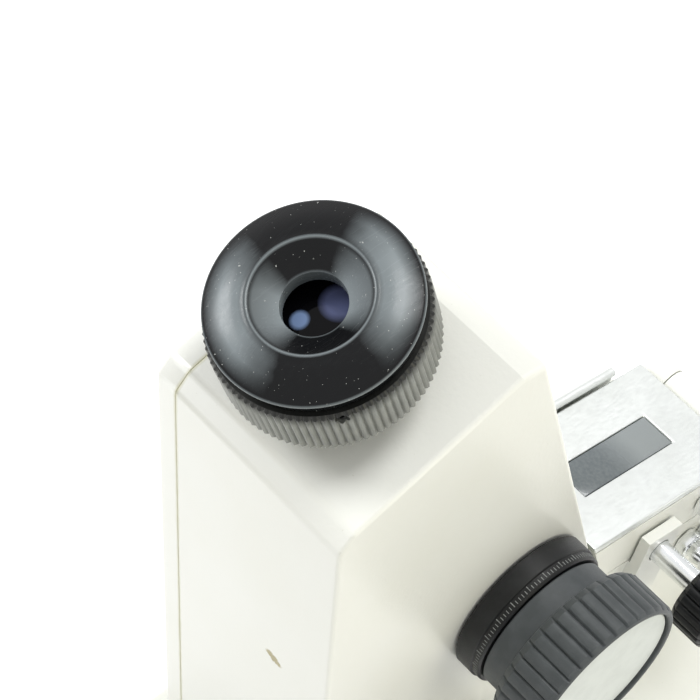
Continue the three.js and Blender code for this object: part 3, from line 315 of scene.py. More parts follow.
# %% Ring grey
def make_ring_grey():
    material, tree, shader, place = new_material("grey_anodised_aluminium", {"Metallic": 0.35})
    patch = patches(tree, place, 3, 5, (0.4, 0.0), (0.7, 1.0))
    half = add(tree, "ShaderNodeMath", {0: patch, 1: 0.5}, operation="MULTIPLY")
    shades = {"Factor": half, FIRST: "#7f817d", SECOND: "#979892"}
    bare = add(tree, "ShaderNodeMix", shades, data_type="RGBA")
    # Grime and painted shade under the cap, darkest at the ring's top next to the cap.
    out = add(tree, "ShaderNodeVectorMath", {0: place, 1: eye_point}, operation="SUBTRACT")
    height = add(tree, "ShaderNodeVectorMath", {0: out, 1: eye_axis}, operation="DOT_PRODUCT")
    edge = wavered(tree, place, height, 1.2, 4, 1.2 * MM)
    fade = {"Value": edge, "From Min": -6.5 * MM, "From Max": -3.0 * MM}
    grime_and_shade = add(tree, "ShaderNodeMapRange", fade)
    shades = {"Factor": grime_and_shade, FIRST: bare, SECOND: "#1d1e1c"}
    colour = add(tree, "ShaderNodeMix", shades, data_type="RGBA")
    gloss = add(tree, "ShaderNodeValToRGB", {"Fac": patch}, ((0.0, 0.38), (1.0, 0.5)))
    feed(tree, shader, {"Base Color": colour, "Roughness": gloss})
    return material


grey_anodised = make_ring_grey()
print("ring:", grey_anodised.name)

# %% [markdown]
# ## Bright metals
# The top plate is silver-plated and brushed along its length, the stem and nozzles are
# chromed, the axles are turned steel and the gears are machined brass. Brushing and turning
# show as fine streaks, drawn as a noise stretched thin along one direction. Real streaks are
# finer than the render shows, so they are drawn half a millimetre apart.

# %% Metals
def make_metal(name, tone, wear_and_sheen, rough, streak):
    material, tree, shader, place = new_material(name, {"Metallic": 1.0})
    cloud = patches(tree, place, 9, 4, (0.4, 0.0), (0.75, 0.7))
    shades = {"Factor": cloud, FIRST: tone, SECOND: wear_and_sheen}
    colour = add(tree, "ShaderNodeMix", shades, data_type="RGBA")
    along = add(tree, "ShaderNodeMapping", {"Vector": place, "Scale": streak})
    look = {"Vector": along, "Scale": 1 / (0.5 * MM), "Detail": 4}
    lines = add(tree, "ShaderNodeTexNoise", look)
    stops = ((0.3, rough * 0.85), (0.7, rough * 1.2))
    gloss = add(tree, "ShaderNodeValToRGB", {"Fac": lines}, stops)
    relief = add(tree, "ShaderNodeBump", {"Height": lines, "Distance": 0.0015 * MM})
    feed(tree, shader, {"Base Color": colour, "Roughness": gloss, "Normal": relief})
    return material


silver_plated = make_metal("silver_plated_brass", "#e0e3e1", "#d7dad7", 0.42, (1, 0.08, 1))
chrome = make_metal("polished_chrome", "#eceeef", "#d9dcdd", 0.18, (0.2, 1, 1))
steel = make_metal("turned_steel", "#a9adaf", "#8f9294", 0.3, (0.1, 1, 1))
brass = make_metal("machined_brass", "#c9a961", "#a98a47", 0.3, (1, 0.2, 1))
silvering = make_metal("silvered_glass", "#e6eaec", "#dde1e3", 0.04, (1, 1, 1))
print("metals: 5")

# %% [markdown]
# ## Glass
# The lenses and prisms are crown glass, clear or ground. The eye lens carries an
# anti-reflection coating. The dark barrel seen through it is painted into its colour as
# near-black, with two soft blue painted reflections of the room drawn as two spots on its face.

# %% Glass
crown_glass = 1.52
lens_face = -6.3
# Each painted reflection has its place across and up on the lens, its reach and its tone.
lens_painted_reflections = ((0.3, 4.9, 4.4, "#687098"), (-2.5, -2.9, 2.2, "#7f97c0"))


def make_glass(name, tone, rough, through):
    fixed = {"IOR": crown_glass, "Transmission Weight": through}
    material, tree, shader, place = new_material(name, fixed)
    haze = patches(tree, place, 3, 4, (0.4, rough), (0.8, rough + 0.06))
    faint = patches(tree, place, 6, 2, (0.3, 0.0), (0.7, 0.2))
    shades = {"Factor": faint, FIRST: tone, SECOND: "#ffffff"}
    colour = add(tree, "ShaderNodeMix", shades, data_type="RGBA")
    feed(tree, shader, {"Base Color": colour, "Roughness": haze})
    return material


def make_coated_lens():
    fixed = {"IOR": crown_glass, "Roughness": 0.04, "Specular IOR Level": 0.12}
    material, tree, shader, place = new_material("coated_lens_glass", fixed)
    # Painted shade: a near-black that stands for the dark barrel behind the lens.
    colour = "#08080b"
    # Two spots of painted reflection laid over the near-black lens.
    for across, up, reach, tone in lens_painted_reflections:
        spot = on_eye @ (Vector((across, up, lens_face)) * MM)
        reflection_spot = near_point(tree, place, spot / MM, reach * 0.6, reach)
        shades = {"Factor": reflection_spot, FIRST: colour, SECOND: tone}
        colour = add(tree, "ShaderNodeMix", shades, data_type="RGBA")
    feed(tree, shader, {"Base Color": colour})
    return material


glass_clear = make_glass("optical_crown_glass", "#e8f0f2", 0.02, 1.0)
glass_ground = make_glass("ground_glass", "#aab2b4", 0.35, 0.5)
lens_coated = make_coated_lens()
print("glass: 3")

# %% [markdown]
# ## Shaping helpers
# Most parts of an instrument come off a lathe, so a half-profile spun round an axis gives
# them directly. Prismatic parts are taken from the frame's own solids: their loose triangles
# are merged into flat faces first, and then the sharp edges are eased with a bevel, because
# a real casting or plate never ends in a knife edge and the eased edge catches the light.
# Edges past 30 degrees are eased, and shaded sharp. The castings and jackets are shaded
# sharp from 14 degrees, so that their broad faces look flat beside the rounded edges.

# %% Turning, easing and copying
SHARP = math.radians(30)
FLAT = math.radians(14)
WELD = 0.01 * MM


def lathe(profile, steps):
    mesh = bmesh.new()
    points = [mesh.verts.new((radius * MM, 0, height * MM)) for radius, height in profile]
    edges = [mesh.edges.new(pair) for pair in zip(points, points[1:])]
    bmesh.ops.spin(mesh, geom=points + edges, cent=(0, 0, 0), axis=(0, 0, 1),
                   angle=math.tau, steps=steps, use_merge=True)
    bmesh.ops.remove_doubles(mesh, verts=mesh.verts, dist=WELD)
    bmesh.ops.recalc_face_normals(mesh, faces=mesh.faces)
    return mesh


def ease(mesh, width, segments=2, over=SHARP, keep=None):
    def wanted(edge):
        return edge.is_manifold and edge.calc_face_angle(0) > over and (keep is None or keep(edge))
    sharp = [edge for edge in mesh.edges if wanted(edge)]
    bmesh.ops.bevel(mesh, geom=sharp, offset=width * MM, offset_type="OFFSET", segments=segments,
                    profile=0.5, affect="EDGES", material=-1, clamp_overlap=True)
    return mesh


def block(x0, x1, y0, y1, z0, z1):
    mesh = bmesh.new()
    bmesh.ops.create_cube(mesh, size=MM)
    bmesh.ops.scale(mesh, vec=(x1 - x0, y1 - y0, z1 - z0), verts=mesh.verts)
    middle = Vector(((x0 + x1) / 2, (y0 + y1) / 2, (z0 + z1) / 2)) * MM
    bmesh.ops.translate(mesh, vec=middle, verts=mesh.verts)
    return mesh


def merged_copy(name):
    mesh = bmesh.new()
    mesh.from_mesh(nodes[name].data)
    bmesh.ops.remove_doubles(mesh, verts=mesh.verts, dist=WELD)
    bmesh.ops.dissolve_limit(mesh, angle_limit=math.radians(1.5), verts=mesh.verts, edges=mesh.edges)
    return mesh


print("sharp past", round(math.degrees(SHARP)), "degrees, flat past", round(math.degrees(FLAT)))

# %% [markdown]
# A finished mesh becomes an object at the origin, with its place in its points, as the
# frame's own solids are. It rides on a body and stands for the solids that it replaces.
# One function does this for every piece, so that none is forgotten.

# %% Joining and placing
def combine(*meshes):
    whole = meshes[0]
    for other in meshes[1:]:
        data = bpy.data.meshes.new("part")
        other.to_mesh(data)
        whole.from_mesh(data)
        other.free()
        bpy.data.meshes.remove(data)
    return whole


def place_piece(name, mesh, body, finish, slot, stands_for=(), at=None, smooth=SHARP):
    if at is not None:
        bmesh.ops.transform(mesh, matrix=at, verts=mesh.verts)
    data = bpy.data.meshes.new(name)
    mesh.to_mesh(data)
    mesh.free()
    data.shade_smooth()
    data.set_sharp_from_angle(angle=smooth)
    data.materials.append(finish)
    piece = bpy.data.objects.new(name, data)
    bpy.context.scene.collection.objects.link(piece)
    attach(piece, body)
    if stands_for:
        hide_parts(*stands_for)
    print(name, len(data.polygons), "faces")


print("pieces go to their places with", place_piece.__name__)

# %% [markdown]
# ## Castings
# The housing and its left cover were cast, filed and sprayed, so their outer edges are
# rounded by a millimetre or more. The frame's solids already have the right outline. Their
# flat faces are merged, the rim at the seam is eased a little, and then the long outer edges
# are rounded in one bevel, so that its corners meet cleanly and the bores stay crisp.

# %% Housing and cover
seam_ease, edge_round, shortest_edge, seam_slack = 0.25, 1.3, 4, 0.1


def at_seam(edge):
    return all(abs(vert.co.x - seam_x) < seam_slack * MM for vert in edge.verts)


def long_outer_edge(edge):
    return edge.calc_length() > shortest_edge * MM and edge.is_convex and not at_seam(edge)


for name, piece_name in (("housing_casting", "housing_shell"), ("left_cover", "side_cover")):
    casting = ease(merged_copy(name), seam_ease, keep=at_seam)
    ease(casting, edge_round, segments=4, keep=long_outer_edge)
    place_piece(piece_name, casting, "frame", enamel_housing, "cream_enamel", [name], smooth=FLAT)

# %% [markdown]
# ## Base
# A low casting with rounded corners. It starts as a block, because bevels then give all its
# rounds and nothing has to be drawn. Its upright edges are bevelled to the corner radius,
# then the rim of its top gets a small round, and its underside is inset and pushed up to
# leave walls.

# %% Base
base_width, base_length, base_foot, base_top = 100, 200, 5, 27
base_corner, base_round, base_wall, base_hollow = 10, 1.6, 5, 17


def make_base():
    across, along = base_width / 2, base_length / 2
    mesh = block(-across, across, -along, along, base_foot, base_top)
    upright = [e for e in mesh.edges if abs(e.verts[0].co.z - e.verts[1].co.z) > 10 * MM]
    bmesh.ops.bevel(mesh, geom=upright, offset=base_corner * MM, segments=10, profile=0.5,
                    affect="EDGES", material=-1)
    rim = [e for e in mesh.edges if all(v.co.z > (base_top - 0.1) * MM for v in e.verts)]
    bmesh.ops.bevel(mesh, geom=rim, offset=base_round * MM, segments=4, profile=0.5,
                    affect="EDGES", material=-1)
    floor = [f for f in mesh.faces if f.normal.z < -0.9]
    bmesh.ops.inset_region(mesh, faces=floor, thickness=base_wall * MM)
    ceiling = list({v for f in floor for v in f.verts})
    bmesh.ops.translate(mesh, vec=(0, 0, base_hollow * MM), verts=ceiling)
    return mesh


place_piece("base_shell", make_base(), "frame", enamel, "cream_enamel", ["base_casting"])

# %% [markdown]
# ## Eyepiece cap and lens
# The cap is a round moulding: a conical dish leads the eye to a 13 mm opening, a narrow lip
# stands round it, and a shoulder stays high and rolls over only near the rim. A quarter of a
# cosine gives that shoulder, and the spin turns it into a solid of revolution. The lens
# below it is a shallow dome on a plain cylinder, spun in the same way.

# %% Cap and lens
def shoulder(start, end, steps=18):
    for i in range(1, steps + 1):
        share = i / steps
        fall = 1 - math.cos(math.pi / 2 * share)
        yield (start[0] + (end[0] - start[0]) * share, start[1] + (end[1] - start[1]) * fall)


cap_profile = [(10, -3.6), (6.7, -3.6), (6.5, -3.3), (6.5, -0.35), (6.58, -0.08), (6.85, 0.08)]
cap_profile += [(9.2, 1.78), (11.5, 3.4), (11.85, 3.66), (12.15, 3.82), (12.45, 3.84), (12.75, 3.72)]
cap_profile += shoulder((12.95, 3.62), (20.85, 1.0))
cap_profile += [(21.02, 0.8), (21.06, 0.55), (20.3, -0.4), (20.2, -0.6), (20.2, -2.7), (12, -2.7)]
cap_profile += [(12, -4.05), (10, -4.05), (10, -3.6)]
place_piece("eyepiece_cap", lathe(cap_profile, 128), "eyepiece_ring", phenolic, "black_gloss",
            ["eye_cap"], on_eye)

dome = [(9.7 * s, -7.4 + 1.4 * (1 - s * s)) for s in (0, 0.15, 0.3, 0.45, 0.6, 0.75, 0.88, 1)]
lens_profile = dome + [(9.7, -10.8), (0, -10.8)]
place_piece("coated_eye_lens", lathe(lens_profile, 64), "lens_barrel", lens_coated, "glass",
            ["eye_lens"], on_eye)

# %% [markdown]
# ## Focusing ring
# A straight knurl is rolled into the ring with a pair of toothed wheels, after its ends were
# chamfered. The teeth therefore fade out over the chamfers, which gives the zigzag edge. A
# plain ring is spun with four steps for each tooth, and the points of its outer wall are
# then drawn in by the depth that a tooth has at that step. Points on the chamfers stay where
# they are, so the teeth run out there by themselves.

# %% Ribs round a turned part
knurl_crease, rib_crease = math.radians(20), math.radians(24)


def ribbed(profile, ribs, depth, shape):
    steps = ribs * len(shape)
    outer = max(radius for radius, height in profile)
    mesh = lathe(profile, steps)
    for vert in mesh.verts:
        reach = math.hypot(vert.co.x, vert.co.y)
        if reach > (outer - 0.001) * MM:
            step = round(math.atan2(vert.co.y, vert.co.x) / (math.tau / steps)) % len(shape)
            drawn = 1 - depth * MM * shape[step] / reach
            vert.co.x *= drawn
            vert.co.y *= drawn
    bmesh.ops.recalc_face_normals(mesh, faces=mesh.faces)
    return mesh


ring_profile = [
    (12.3, -3), (21.1, -3), (21.9, -3.8), (21.9, -16.4), (21.1, -17.2), (15, -17.2), (15, -5.6),
    (12.3, -5.6), (12.3, -3),
]
knurl = ribbed(ring_profile, ribs=88, depth=0.65, shape=(1, 0.3, 0, 0.3))
print("knurl:", len(knurl.faces), "faces")

# %% [markdown]
# A small set screw holds the ring on its barrel. Its hole is drilled last, with a Boolean
# whose result is kept, so that the screw shows at its bottom. No bevel or inset could cut
# through the teeth so cleanly.

# %% Focusing ring with its drilled hole
def drilled(mesh, cutter):
    names = ("whole", "drill")
    whole, drill = (bpy.data.objects.new(name, bpy.data.meshes.new(name)) for name in names)
    for item, shape in ((whole, mesh), (drill, cutter)):
        shape.to_mesh(item.data)
        shape.free()
        bpy.context.scene.collection.objects.link(item)
    hole = whole.modifiers.new("hole", "BOOLEAN")
    hole.operation = "DIFFERENCE"
    hole.solver = "EXACT"
    hole.object = drill
    result = bmesh.new()
    result.from_object(whole, bpy.context.evaluated_depsgraph_get())
    for item in (whole, drill):
        data = item.data
        bpy.data.objects.remove(item)
        bpy.data.meshes.remove(data)
    return result


screw_turn = Matrix.Rotation(math.radians(-30), 4, "Z")
to_screw = screw_turn @ Matrix.Translation((21.1 * MM, 0, -5 * MM)) @ to_right
drill = lathe([(0, -2.7), (1.4, -2.7), (1.4, 3), (0, 3)], 32)
bmesh.ops.transform(drill, matrix=to_screw, verts=drill.verts)
place_piece("knurled_ring", drilled(knurl, drill), "eyepiece_ring", grey_anodised, "black_satin",
            ["focus_ring"], on_eye, smooth=knurl_crease)

# %% [markdown]
# ## Dispersion knob
# The knob is three pieces on one shaft: a scale drum with a graduated edge, a wide ribbed
# grip, and a pale disc let into the grip's face. The drum carries a hundred and twenty small
# painted marks, made from one thin bar that is spun round as copies. Every fifth is longer.

# %% Dispersion knob
on_knob = Matrix.Translation(knob_centre) @ to_right
drum_profile = [
    (2.3, 0.6), (18.5, 0.6), (18.9, 1), (18.9, 5.5), (18.7, 5.7), (18.45, 5.8), (18.45, 7.5),
    (18, 8), (2.3, 8), (2.3, 0.6),
]
place_piece("scale_drum", lathe(drum_profile, 128), "dispersion_drive", dark_moulding,
            "black_satin", ["dispersion_scale_ring"], on_knob)


def spun_marks(count, radius, start, length, width):
    sunk, proud = 0.1, 0.05
    mark = block(radius - sunk, radius + proud, -width / 2, width / 2, start, start + length)
    geometry = mark.verts[:] + mark.edges[:] + mark.faces[:]
    bmesh.ops.spin(mark, geom=geometry, cent=(0, 0, 0), axis=(0, 0, 1),
                   angle=math.tau * (count - 1) / count, steps=count - 1, use_duplicate=True)
    return mark


drum_radius = 18.45
short_marks = spun_marks(120, drum_radius, start=6.4, length=0.9, width=0.16)
long_marks = spun_marks(24, drum_radius, start=5.9, length=1.4, width=0.2)
marks = combine(short_marks, long_marks)
place_piece("drum_marks", marks, "dispersion_drive", faded_paint, "pale_disc", (), on_knob)

rib_shape = (1, 0.25, 0.05, 0, 0, 0, 0.05, 0.25)
rib_depth = 0.8
grip_profile = [
    (2.3, 8.3), (17.3, 8.3), (17.6, 8.6), (17.6, 15), (20.3, 15), (20.8, 15.2), (21.9, 16.8),
    (21.9, 27.2), (21.3, 28.1), (20.8, 28.4), (20.3, 28.3), (20.1, 28), (20.1, 26.1), (2.3, 26.1),
    (2.3, 8.3),
]
place_piece("ribbed_grip", ribbed(grip_profile, 38, rib_depth, rib_shape), "dispersion_drive",
            grey_moulding, "black_grip", ["dispersion_knob"], on_knob, smooth=rib_crease)

disc_profile = [
    (0, 27.66), (12, 27.62), (19.2, 27.5), (19.6, 27.35), (19.8, 27.1), (19.8, 26.4), (0, 26.4),
]
place_piece("knob_disc", lathe(disc_profile, 96), "dispersion_drive", pale_moulding, "pale_disc",
            ["dispersion_knob_disc"], on_knob)

# %% [markdown]
# ## Index knob
# The measuring knob sits low on the same wall. It is the same kind of moulding, a little
# smaller, with a shallow dish in its face, so the same function makes it from its own
# profile.

# %% Index knob
on_index = Matrix.Translation(index_centre) @ to_right
index_profile = [
    (2.3, 1.2), (16.8, 1.2), (17.2, 1.4), (19, 3.4), (19, 19), (17.2, 21), (16.6, 21.2),
    (14.4, 21.2), (13.6, 20.8), (12.5, 20), (0, 19.6), (0, 11.6), (2.3, 11.6), (2.3, 1.2),
]
place_piece("index_grip", ribbed(index_profile, 40, rib_depth, rib_shape), "index_drive",
            grey_moulding, "black_grip", ["index_knob"], on_index, smooth=rib_crease)

# %% [markdown]
# ## Prism block
# Two milled brass jackets hold the prisms. The lower jacket and the upper one are enamelled,
# and a silver-plated plate closes the top, with a window over the upper prism. The frame's
# solids have the right faces, so each is copied, merged and eased like a real milled edge.
# The light shield beside the block and the reflector's tray below it are made the same way.

# %% Jackets, plate, shield and tray
for name, piece_name, width, body, finish, slot in (
    ("refraction_seat", "lower_jacket", 0.5, "frame", enamel, "cream_enamel"),
    ("entry_seat", "upper_jacket", 0.5, "entry_block", enamel, "cream_enamel"),
    ("entry_top_plate", "plated_plate", 0.4, "entry_block", silver_plated, "silver_plate"),
    ("light_shield", "shield_flap", 0.25, "shield", silver_plated, "silver_plate"),
    ("reflector_frame", "reflector_tray", 0.4, "reflector", black_anodised, "black_satin"),
):
    jacket = ease(merged_copy(name), width)
    place_piece(piece_name, jacket, body, finish, slot, [name], smooth=FLAT)

# %% [markdown]
# The window is a slip of ground glass let into the plate, over the upper prism. Its front
# half is polished, and the dark block seen through it is painted shade, a mottled dark grey in
# the glass's colour. Its rear half is frosted and paler, with a soft border between the two.

# %% Window
frost_start, frost_end = 38, 48


def make_window_glass():
    fixed = {"IOR": crown_glass, "Coat Weight": 0.3}
    material, tree, shader, place = new_material("half_frosted_glass", fixed)
    split = add(tree, "ShaderNodeSeparateXYZ", {"Vector": place})
    along = wavered(tree, place, split.outputs["Y"], 6, 2, 3 * MM)
    border = {"Value": along, "From Min": frost_start * MM, "From Max": frost_end * MM}
    frost = add(tree, "ShaderNodeMapRange", border)
    # Painted shade: the dark block seen through the polished half, as a mottled dark grey.
    painted_dark_view = patches(tree, place, 0.8, 3, (0.3, "#5a6164"), (0.8, "#6b7274"))
    shades = {"Factor": frost, FIRST: painted_dark_view, SECOND: "#878d8e"}
    colour = add(tree, "ShaderNodeMix", shades, data_type="RGBA")
    gloss = add(tree, "ShaderNodeValToRGB", {"Fac": frost}, ((0.0, 0.15), (1.0, 0.45)))
    feed(tree, shader, {"Base Color": colour, "Roughness": gloss})
    return material


pane = ease(block(-3.3, 6.3, -6.7, 24.9, 31.9, 33.5), width=0.15)
place_piece("window_pane", pane, "entry_block", make_window_glass(), "glass", (), on_block)

# %% [markdown]
# ## Lock wheel
# A chromed stem passes through the ear of the lower jacket and carries a small ribbed wheel.
# The stem is a plain turned rod with a small chamfer. The wheel is spun like the knobs, and
# its ribs come from the same function.

# %% Lock wheel
lock_y, lock_z = 8.6, 20
on_lock = on_block @ Matrix.Translation(Vector((0, lock_y, lock_z)) * MM) @ to_right
stem_profile = [(0, 19.3), (2.7, 19.3), (3, 19.6), (3, 41.3), (0, 41.3)]
place_piece("chrome_stem", lathe(stem_profile, 48), "lock_wheel", chrome, "chrome",
            ["lock_stem"], on_lock)
wheel_profile = [
    (3.3, 35.8), (9, 35.8), (9.4, 36), (10.5, 37.2), (10.5, 45.2), (9.2, 46.6), (8.7, 46.8),
    (7, 46.8), (6.4, 46.3), (0, 46.1), (0, 41.6), (3.3, 41.6), (3.3, 35.8),
]
place_piece("lock_grip", ribbed(wheel_profile, 24, 0.7, rib_shape), "lock_wheel",
            dark_moulding, "black_grip", ["lock_knob"], on_lock, smooth=rib_crease)

# %% [markdown]
# ## Water nozzles
# Each jacket has two hose nozzles, so that a thermostat can pump water through it. A hexagon
# takes the spanner, and three barbs hold the hose. The hexagon is a six-sided spin, which is
# joined to the finely spun barbs in one mesh.

# %% Nozzles
jacket_side = 19.3


def make_nozzle(along, height):
    hexagon = lathe([(1.7, 0), (4, 0), (4, 2.9), (1.7, 2.9), (1.7, 0)], steps=6)
    ease(hexagon, width=0.25)
    barbs = [(1.7, 2.8), (2.6, 2.8), (2.6, 4.4)]
    for start in (4.4, 7.4, 10.4):
        barbs += [(3.25, start + 0.2), (3.3, start + 0.5), (2.6, start + 3)]
    barbs += [(2.3, 13.9), (1.9, 14), (1.7, 13.8), (1.7, 2.8)]
    nozzle = combine(hexagon, lathe(barbs, 36))
    bmesh.ops.transform(nozzle, matrix=to_right, verts=nozzle.verts)
    foot = Vector((jacket_side, along, height)) * MM
    bmesh.ops.translate(nozzle, vec=foot, verts=nozzle.verts)
    return nozzle


for level, height, body in (("lower", 8, "frame"), ("upper", 23.6, "entry_block")):
    for end, along in (("front", 27.6), ("rear", 36)):
        place_piece(f"{level}_{end}_hose_barb", make_nozzle(along, height), body, chrome,
                    "chrome", [f"{level}_nozzle_{end}"], on_block)

# %% [markdown]
# ## Thermometer
# A glass rod with a white enamel back, a fine dark column in its bore and printed degree
# marks. The column and marks stand a hair proud of the enamel inside the clear rod. They are
# thin pieces of their own and not a pattern in a material, so the glass bends the view of
# them as it does in a real rod. A loop keeps the marks' spacing exact.

# %% Thermometer
at_thermometer = Matrix.Translation(Vector((27, 91, 0)) * MM)
rod_profile = [
    (0, 74.3), (1.4, 74.4), (1.9, 75), (2, 79), (2.6, 82.5), (3.2, 84), (3.2, 233.6),
    (2.6, 235.6), (1.6, 236.7), (0, 237),
]
place_piece("thermometer_rod", lathe(rod_profile, 40), "thermometer", glass_clear, "glass",
            ["thermometer"], at_thermometer)
enamel_back = ease(block(-1.5, 1.5, 0.9, 1.5, 90, 228), width=0.15)
place_piece("thermometer_back", enamel_back, "thermometer", pale_moulding, "pale_disc", (),
            at_thermometer)
column = lathe([(0, 75.2), (1.1, 75.6), (1.2, 79), (0.3, 83), (0.3, 150), (0, 150.2)], 16)
place_piece("thermometer_column", column, "thermometer", dark_moulding, "black_satin", (),
            at_thermometer)
first_degree, degree_gap, degree_thick, degree_count = 96, 2.1, 0.25, 61
degrees = []
for step in range(degree_count):
    half = 1.3 if step % 10 == 0 else 1.0 if step % 5 == 0 else 0.7
    low = first_degree + step * degree_gap
    degrees.append(block(-half, half, 0.72, 0.9, low, low + degree_thick))
place_piece("thermometer_marks", combine(*degrees), "thermometer", dark_moulding,
            "black_satin", (), at_thermometer)

# %% [markdown]
# ## Scale condenser and feet
# The condenser is a small turret on the left cover that gathers room light for the scale.
# Its solid is copied, and only its square edges are eased. The feet are turned rubber, all
# from one profile, in a loop over the four corners.

# %% Condenser and feet
turret = ease(merged_copy("condenser_turret"), width=0.5, over=math.radians(60))
place_piece("condenser_housing", turret, "condenser", black_anodised, "black_satin",
            ["condenser_turret"])

foot_profile = [
    (0, 1.5), (2.8, 1.5), (3, 1.2), (3, 0.2), (3.2, 0), (7.4, 0), (8, 0.6), (8, 3), (0, 3),
]
foot_along, foot_across = 84, 34
for side_y, depth in (("front", -foot_along), ("rear", foot_along)):
    for side_x, across in (("left", -foot_across), ("right", foot_across)):
        at_foot = Matrix.Translation(Vector((across, depth, 0)) * MM)
        place_piece(f"{side_y}_{side_x}_pad", lathe(foot_profile, 48), "frame", rubber, "rubber",
                    [f"foot_{side_y}_{side_x}"], at_foot)

# %% [markdown]
# ## Fasteners
# The cover and the underside are held by slotted screws. A screw is a spun disc with a
# chamfered rim. Its top is cut by two planes, and the strip between them is pushed down,
# which needs no Boolean. Each slot points its own way, from a seeded draw, because real
# screws are never lined up.

# %% Screws
screw_radius, screw_height, screw_slot = 2.6, 1.1, 0.7
cover_face, underside = -35.65, 3.05


def screw_head():
    rim, flat = screw_height * 0.6, screw_radius * 0.85
    profile = [(0, 0), (screw_radius, 0), (screw_radius, rim), (flat, screw_height), (0, screw_height)]
    mesh = lathe(profile, 24)
    bmesh.ops.dissolve_limit(mesh, angle_limit=math.radians(1), verts=mesh.verts, edges=mesh.edges)
    half = screw_slot / 2 * MM
    for side in (-1, 1):
        every = mesh.verts[:] + mesh.edges[:] + mesh.faces[:]
        wall = (0, side * half, 0)
        bmesh.ops.bisect_plane(mesh, geom=every, plane_co=wall, plane_no=(0, 1, 0))
    mesh.faces.ensure_lookup_table()
    tops = [f for f in mesh.faces if f.normal.z > 0.9]
    strip = [f for f in tops if abs(f.calc_center_median().y) < half]
    pushed = bmesh.ops.extrude_face_region(mesh, geom=strip)["geom"]
    bmesh.ops.delete(mesh, geom=strip, context="FACES")
    lowered = [item for item in pushed if isinstance(item, bmesh.types.BMVert)]
    bmesh.ops.translate(mesh, vec=(0, 0, -screw_height * 0.5 * MM), verts=lowered)
    return mesh


def screws(places, turn):
    draw = random.Random(7)
    heads = []
    for place in places:
        head = screw_head()
        spin = Matrix.Rotation(draw.uniform(0, math.pi), 4, "Z")
        seat = Matrix.Translation(Vector(place) * MM) @ turn @ spin
        bmesh.ops.transform(head, matrix=seat, verts=head.verts)
        heads.append(head)
    return combine(*heads)


to_left = Matrix.Rotation(math.radians(-90), 4, "Y")
to_floor = Matrix.Rotation(math.pi, 4, "X")
cover_places = [(-61, 36), (-61, 112), (-61, 184), (-27, 203), (-7, 150), (13, 88), (62, 38)]
side_screws = screws([(cover_face, y, z) for y, z in cover_places], to_left)
place_piece("side_cover_screws", side_screws, "frame", steel, "steel")
under_places = [(x, y, underside) for x in (-38, 38) for y in (-40, 40)]
place_piece("underside_screws", screws(under_places, to_floor), "frame", steel, "steel")

# %% [markdown]
# ## Finishes for the solids that stay
# Everything else keeps the frame's own solid, whose shape is already right, and only takes a
# finish. Most of these parts are inside, and show when the block is opened or in a section.

# %% Finishes of the frame's own solids
finishes = {
    black_anodised: "base_cover eyepiece_socket telescope_tube optics_frame mirror_holder "
                    "eyepiece_barrel",
    glass_clear: "reticle_disc objective_lens rhomboid_prism reading_lens condenser_lens "
                 "field_lens upper_dispersion_prism lower_dispersion_prism scale_plate",
    glass_ground: "refraction_prism entry_prism",
    silvering: "reading_mirror swing_mirror reflector_glass",
    brass: "upper_prism_cell lower_prism_cell sector_gear scale_arm",
    black_steel: "focus_ring_screw",
    steel: "dispersion_pinion_shaft index_pinion_shaft mirror_axle prism_hinge_pin reflector_pin",
    chrome: "thermometer_seat",
}
dressed = 0
for finish, names in finishes.items():
    for name in names.split():
        slots = nodes[name].data.materials
        slots.clear()
        slots.append(finish)
        dressed += 1
print(dressed, "solids dressed")

# %% [markdown]
# ## Floor
# The instrument stands on a white table. A Light Path node says which rays look at a
# surface: the camera's, and those in reflections and glass. The floor glows for these alone,
# so it whitens the background without adding light to the object, and the contact shadow
# stays.

# %% Floor
def seen_rays(tree):
    path = add(tree, "ShaderNodeLightPath", {})
    seen = path.outputs["Is Camera Ray"]
    for ray in ("Is Glossy Ray", "Is Transmission Ray"):
        either = {0: seen, 1: path.outputs[ray]}
        seen = add(tree, "ShaderNodeMath", either, operation="MAXIMUM")
    return seen


def make_floor(half_width, glow_level):
    mesh = bmesh.new()
    bmesh.ops.create_grid(mesh, x_segments=8, y_segments=8, size=half_width)
    data = bpy.data.meshes.new("table_top")
    mesh.to_mesh(data)
    mesh.free()
    floor = bpy.data.objects.new("table_top", data)
    bpy.context.scene.collection.objects.link(floor)
    material = bpy.data.materials.new("white_table")
    material.use_nodes = True
    tree = material.node_tree
    tree.nodes.clear()
    faint = {0: seen_rays(tree), 1: glow_level}
    level = add(tree, "ShaderNodeMath", faint, operation="MULTIPLY")
    glow = add(tree, "ShaderNodeEmission", {"Strength": level})
    matt = add(tree, "ShaderNodeBsdfDiffuse", {"Color": "#eeeeec"})
    both = add(tree, "ShaderNodeAddShader", {0: glow, 1: matt})
    add(tree, "ShaderNodeOutputMaterial", {"Surface": both})
    data.materials.append(material)


make_floor(half_width=4, glow_level=0.45)
print("floor laid")

# %% [markdown]
# ## Light
# Three large, soft lamps and an even sky light the instrument as a photographer's tent does.
# The sky is dimmer as a light than it looks to the camera, so that pale enamel keeps its tone.

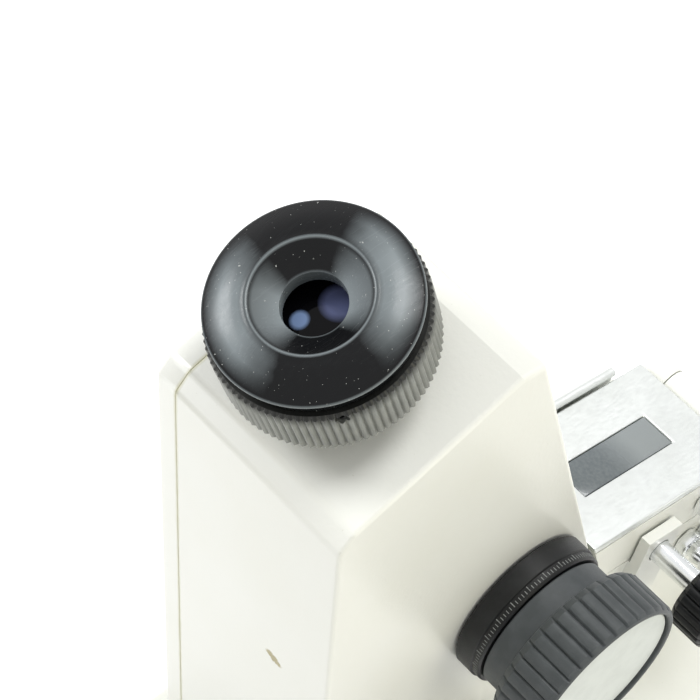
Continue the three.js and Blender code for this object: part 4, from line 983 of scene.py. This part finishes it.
# %% Light
def make_world(level):
    world = bpy.data.worlds.new("studio")
    bpy.context.scene.world = world
    world.use_nodes = True
    tree = world.node_tree
    tree.nodes.clear()
    range_of = {"Value": seen_rays(tree), "To Min": level, "To Max": 1.0}
    strength = add(tree, "ShaderNodeMapRange", range_of)
    sky = add(tree, "ShaderNodeBackground", {"Color": "#fefefe", "Strength": strength})
    add(tree, "ShaderNodeOutputWorld", {"Surface": sky})


def soft_lamp(name, place, aim, size, power, tone="#ffffff"):
    lamp = bpy.data.lights.new(name, "AREA")
    lamp.color = linear(tone)[:3]
    lamp.shape = "DISK"
    lamp.size = size
    lamp.energy = power
    holder = bpy.data.objects.new(name, lamp)
    holder.location = place
    towards = Vector(aim) - Vector(place)
    holder.rotation_euler = towards.to_track_quat("-Z", "Y").to_euler()
    bpy.context.scene.collection.objects.link(holder)


make_world(level=0.58)
soft_lamp("key", (-1.0, -0.62, 0.95), (0, 0, 0.12), size=0.55, power=9.2)
soft_lamp("fill", (1.3, 0.05, 0.55), (0, 0, 0.12), size=0.8, power=4.6, tone="#fbf5d8")
soft_lamp("top", (0.05, 0.48, 1.35), (0, 0, 0.15), size=0.6, power=9)
print("studio lit")

# %% [markdown]
# ## Camera
# The camera looks steeply down on the eyepiece. Its place, turn and lens were found by
# fitting the round edges of the cap, ring and knob, and the housing's corners, to the
# photograph's, so the three directions of its view are written as they were found.

# %% Camera
def make_camera():
    data = bpy.data.cameras.new("camera")
    data.lens = 126.913
    data.sensor_width = 36
    data.clip_start = 0.01
    camera = bpy.data.objects.new("camera", data)
    right = Vector((0.66078, 0.74909, 0.04724))
    down = Vector((0.63262, -0.52196, -0.57214))
    ahead = Vector((-0.40393, 0.40794, -0.81879))
    turn = Matrix((right, -down, -ahead)).transposed().to_4x4()
    camera.matrix_world = Matrix.Translation((0.18222, -0.23579, 0.59644)) @ turn
    bpy.context.scene.collection.objects.link(camera)
    bpy.context.scene.camera = camera


make_camera()
bpy.context.scene.view_settings.view_transform = "Standard"
print("camera lens:", round(bpy.context.scene.camera.data.lens, 1), "mm")
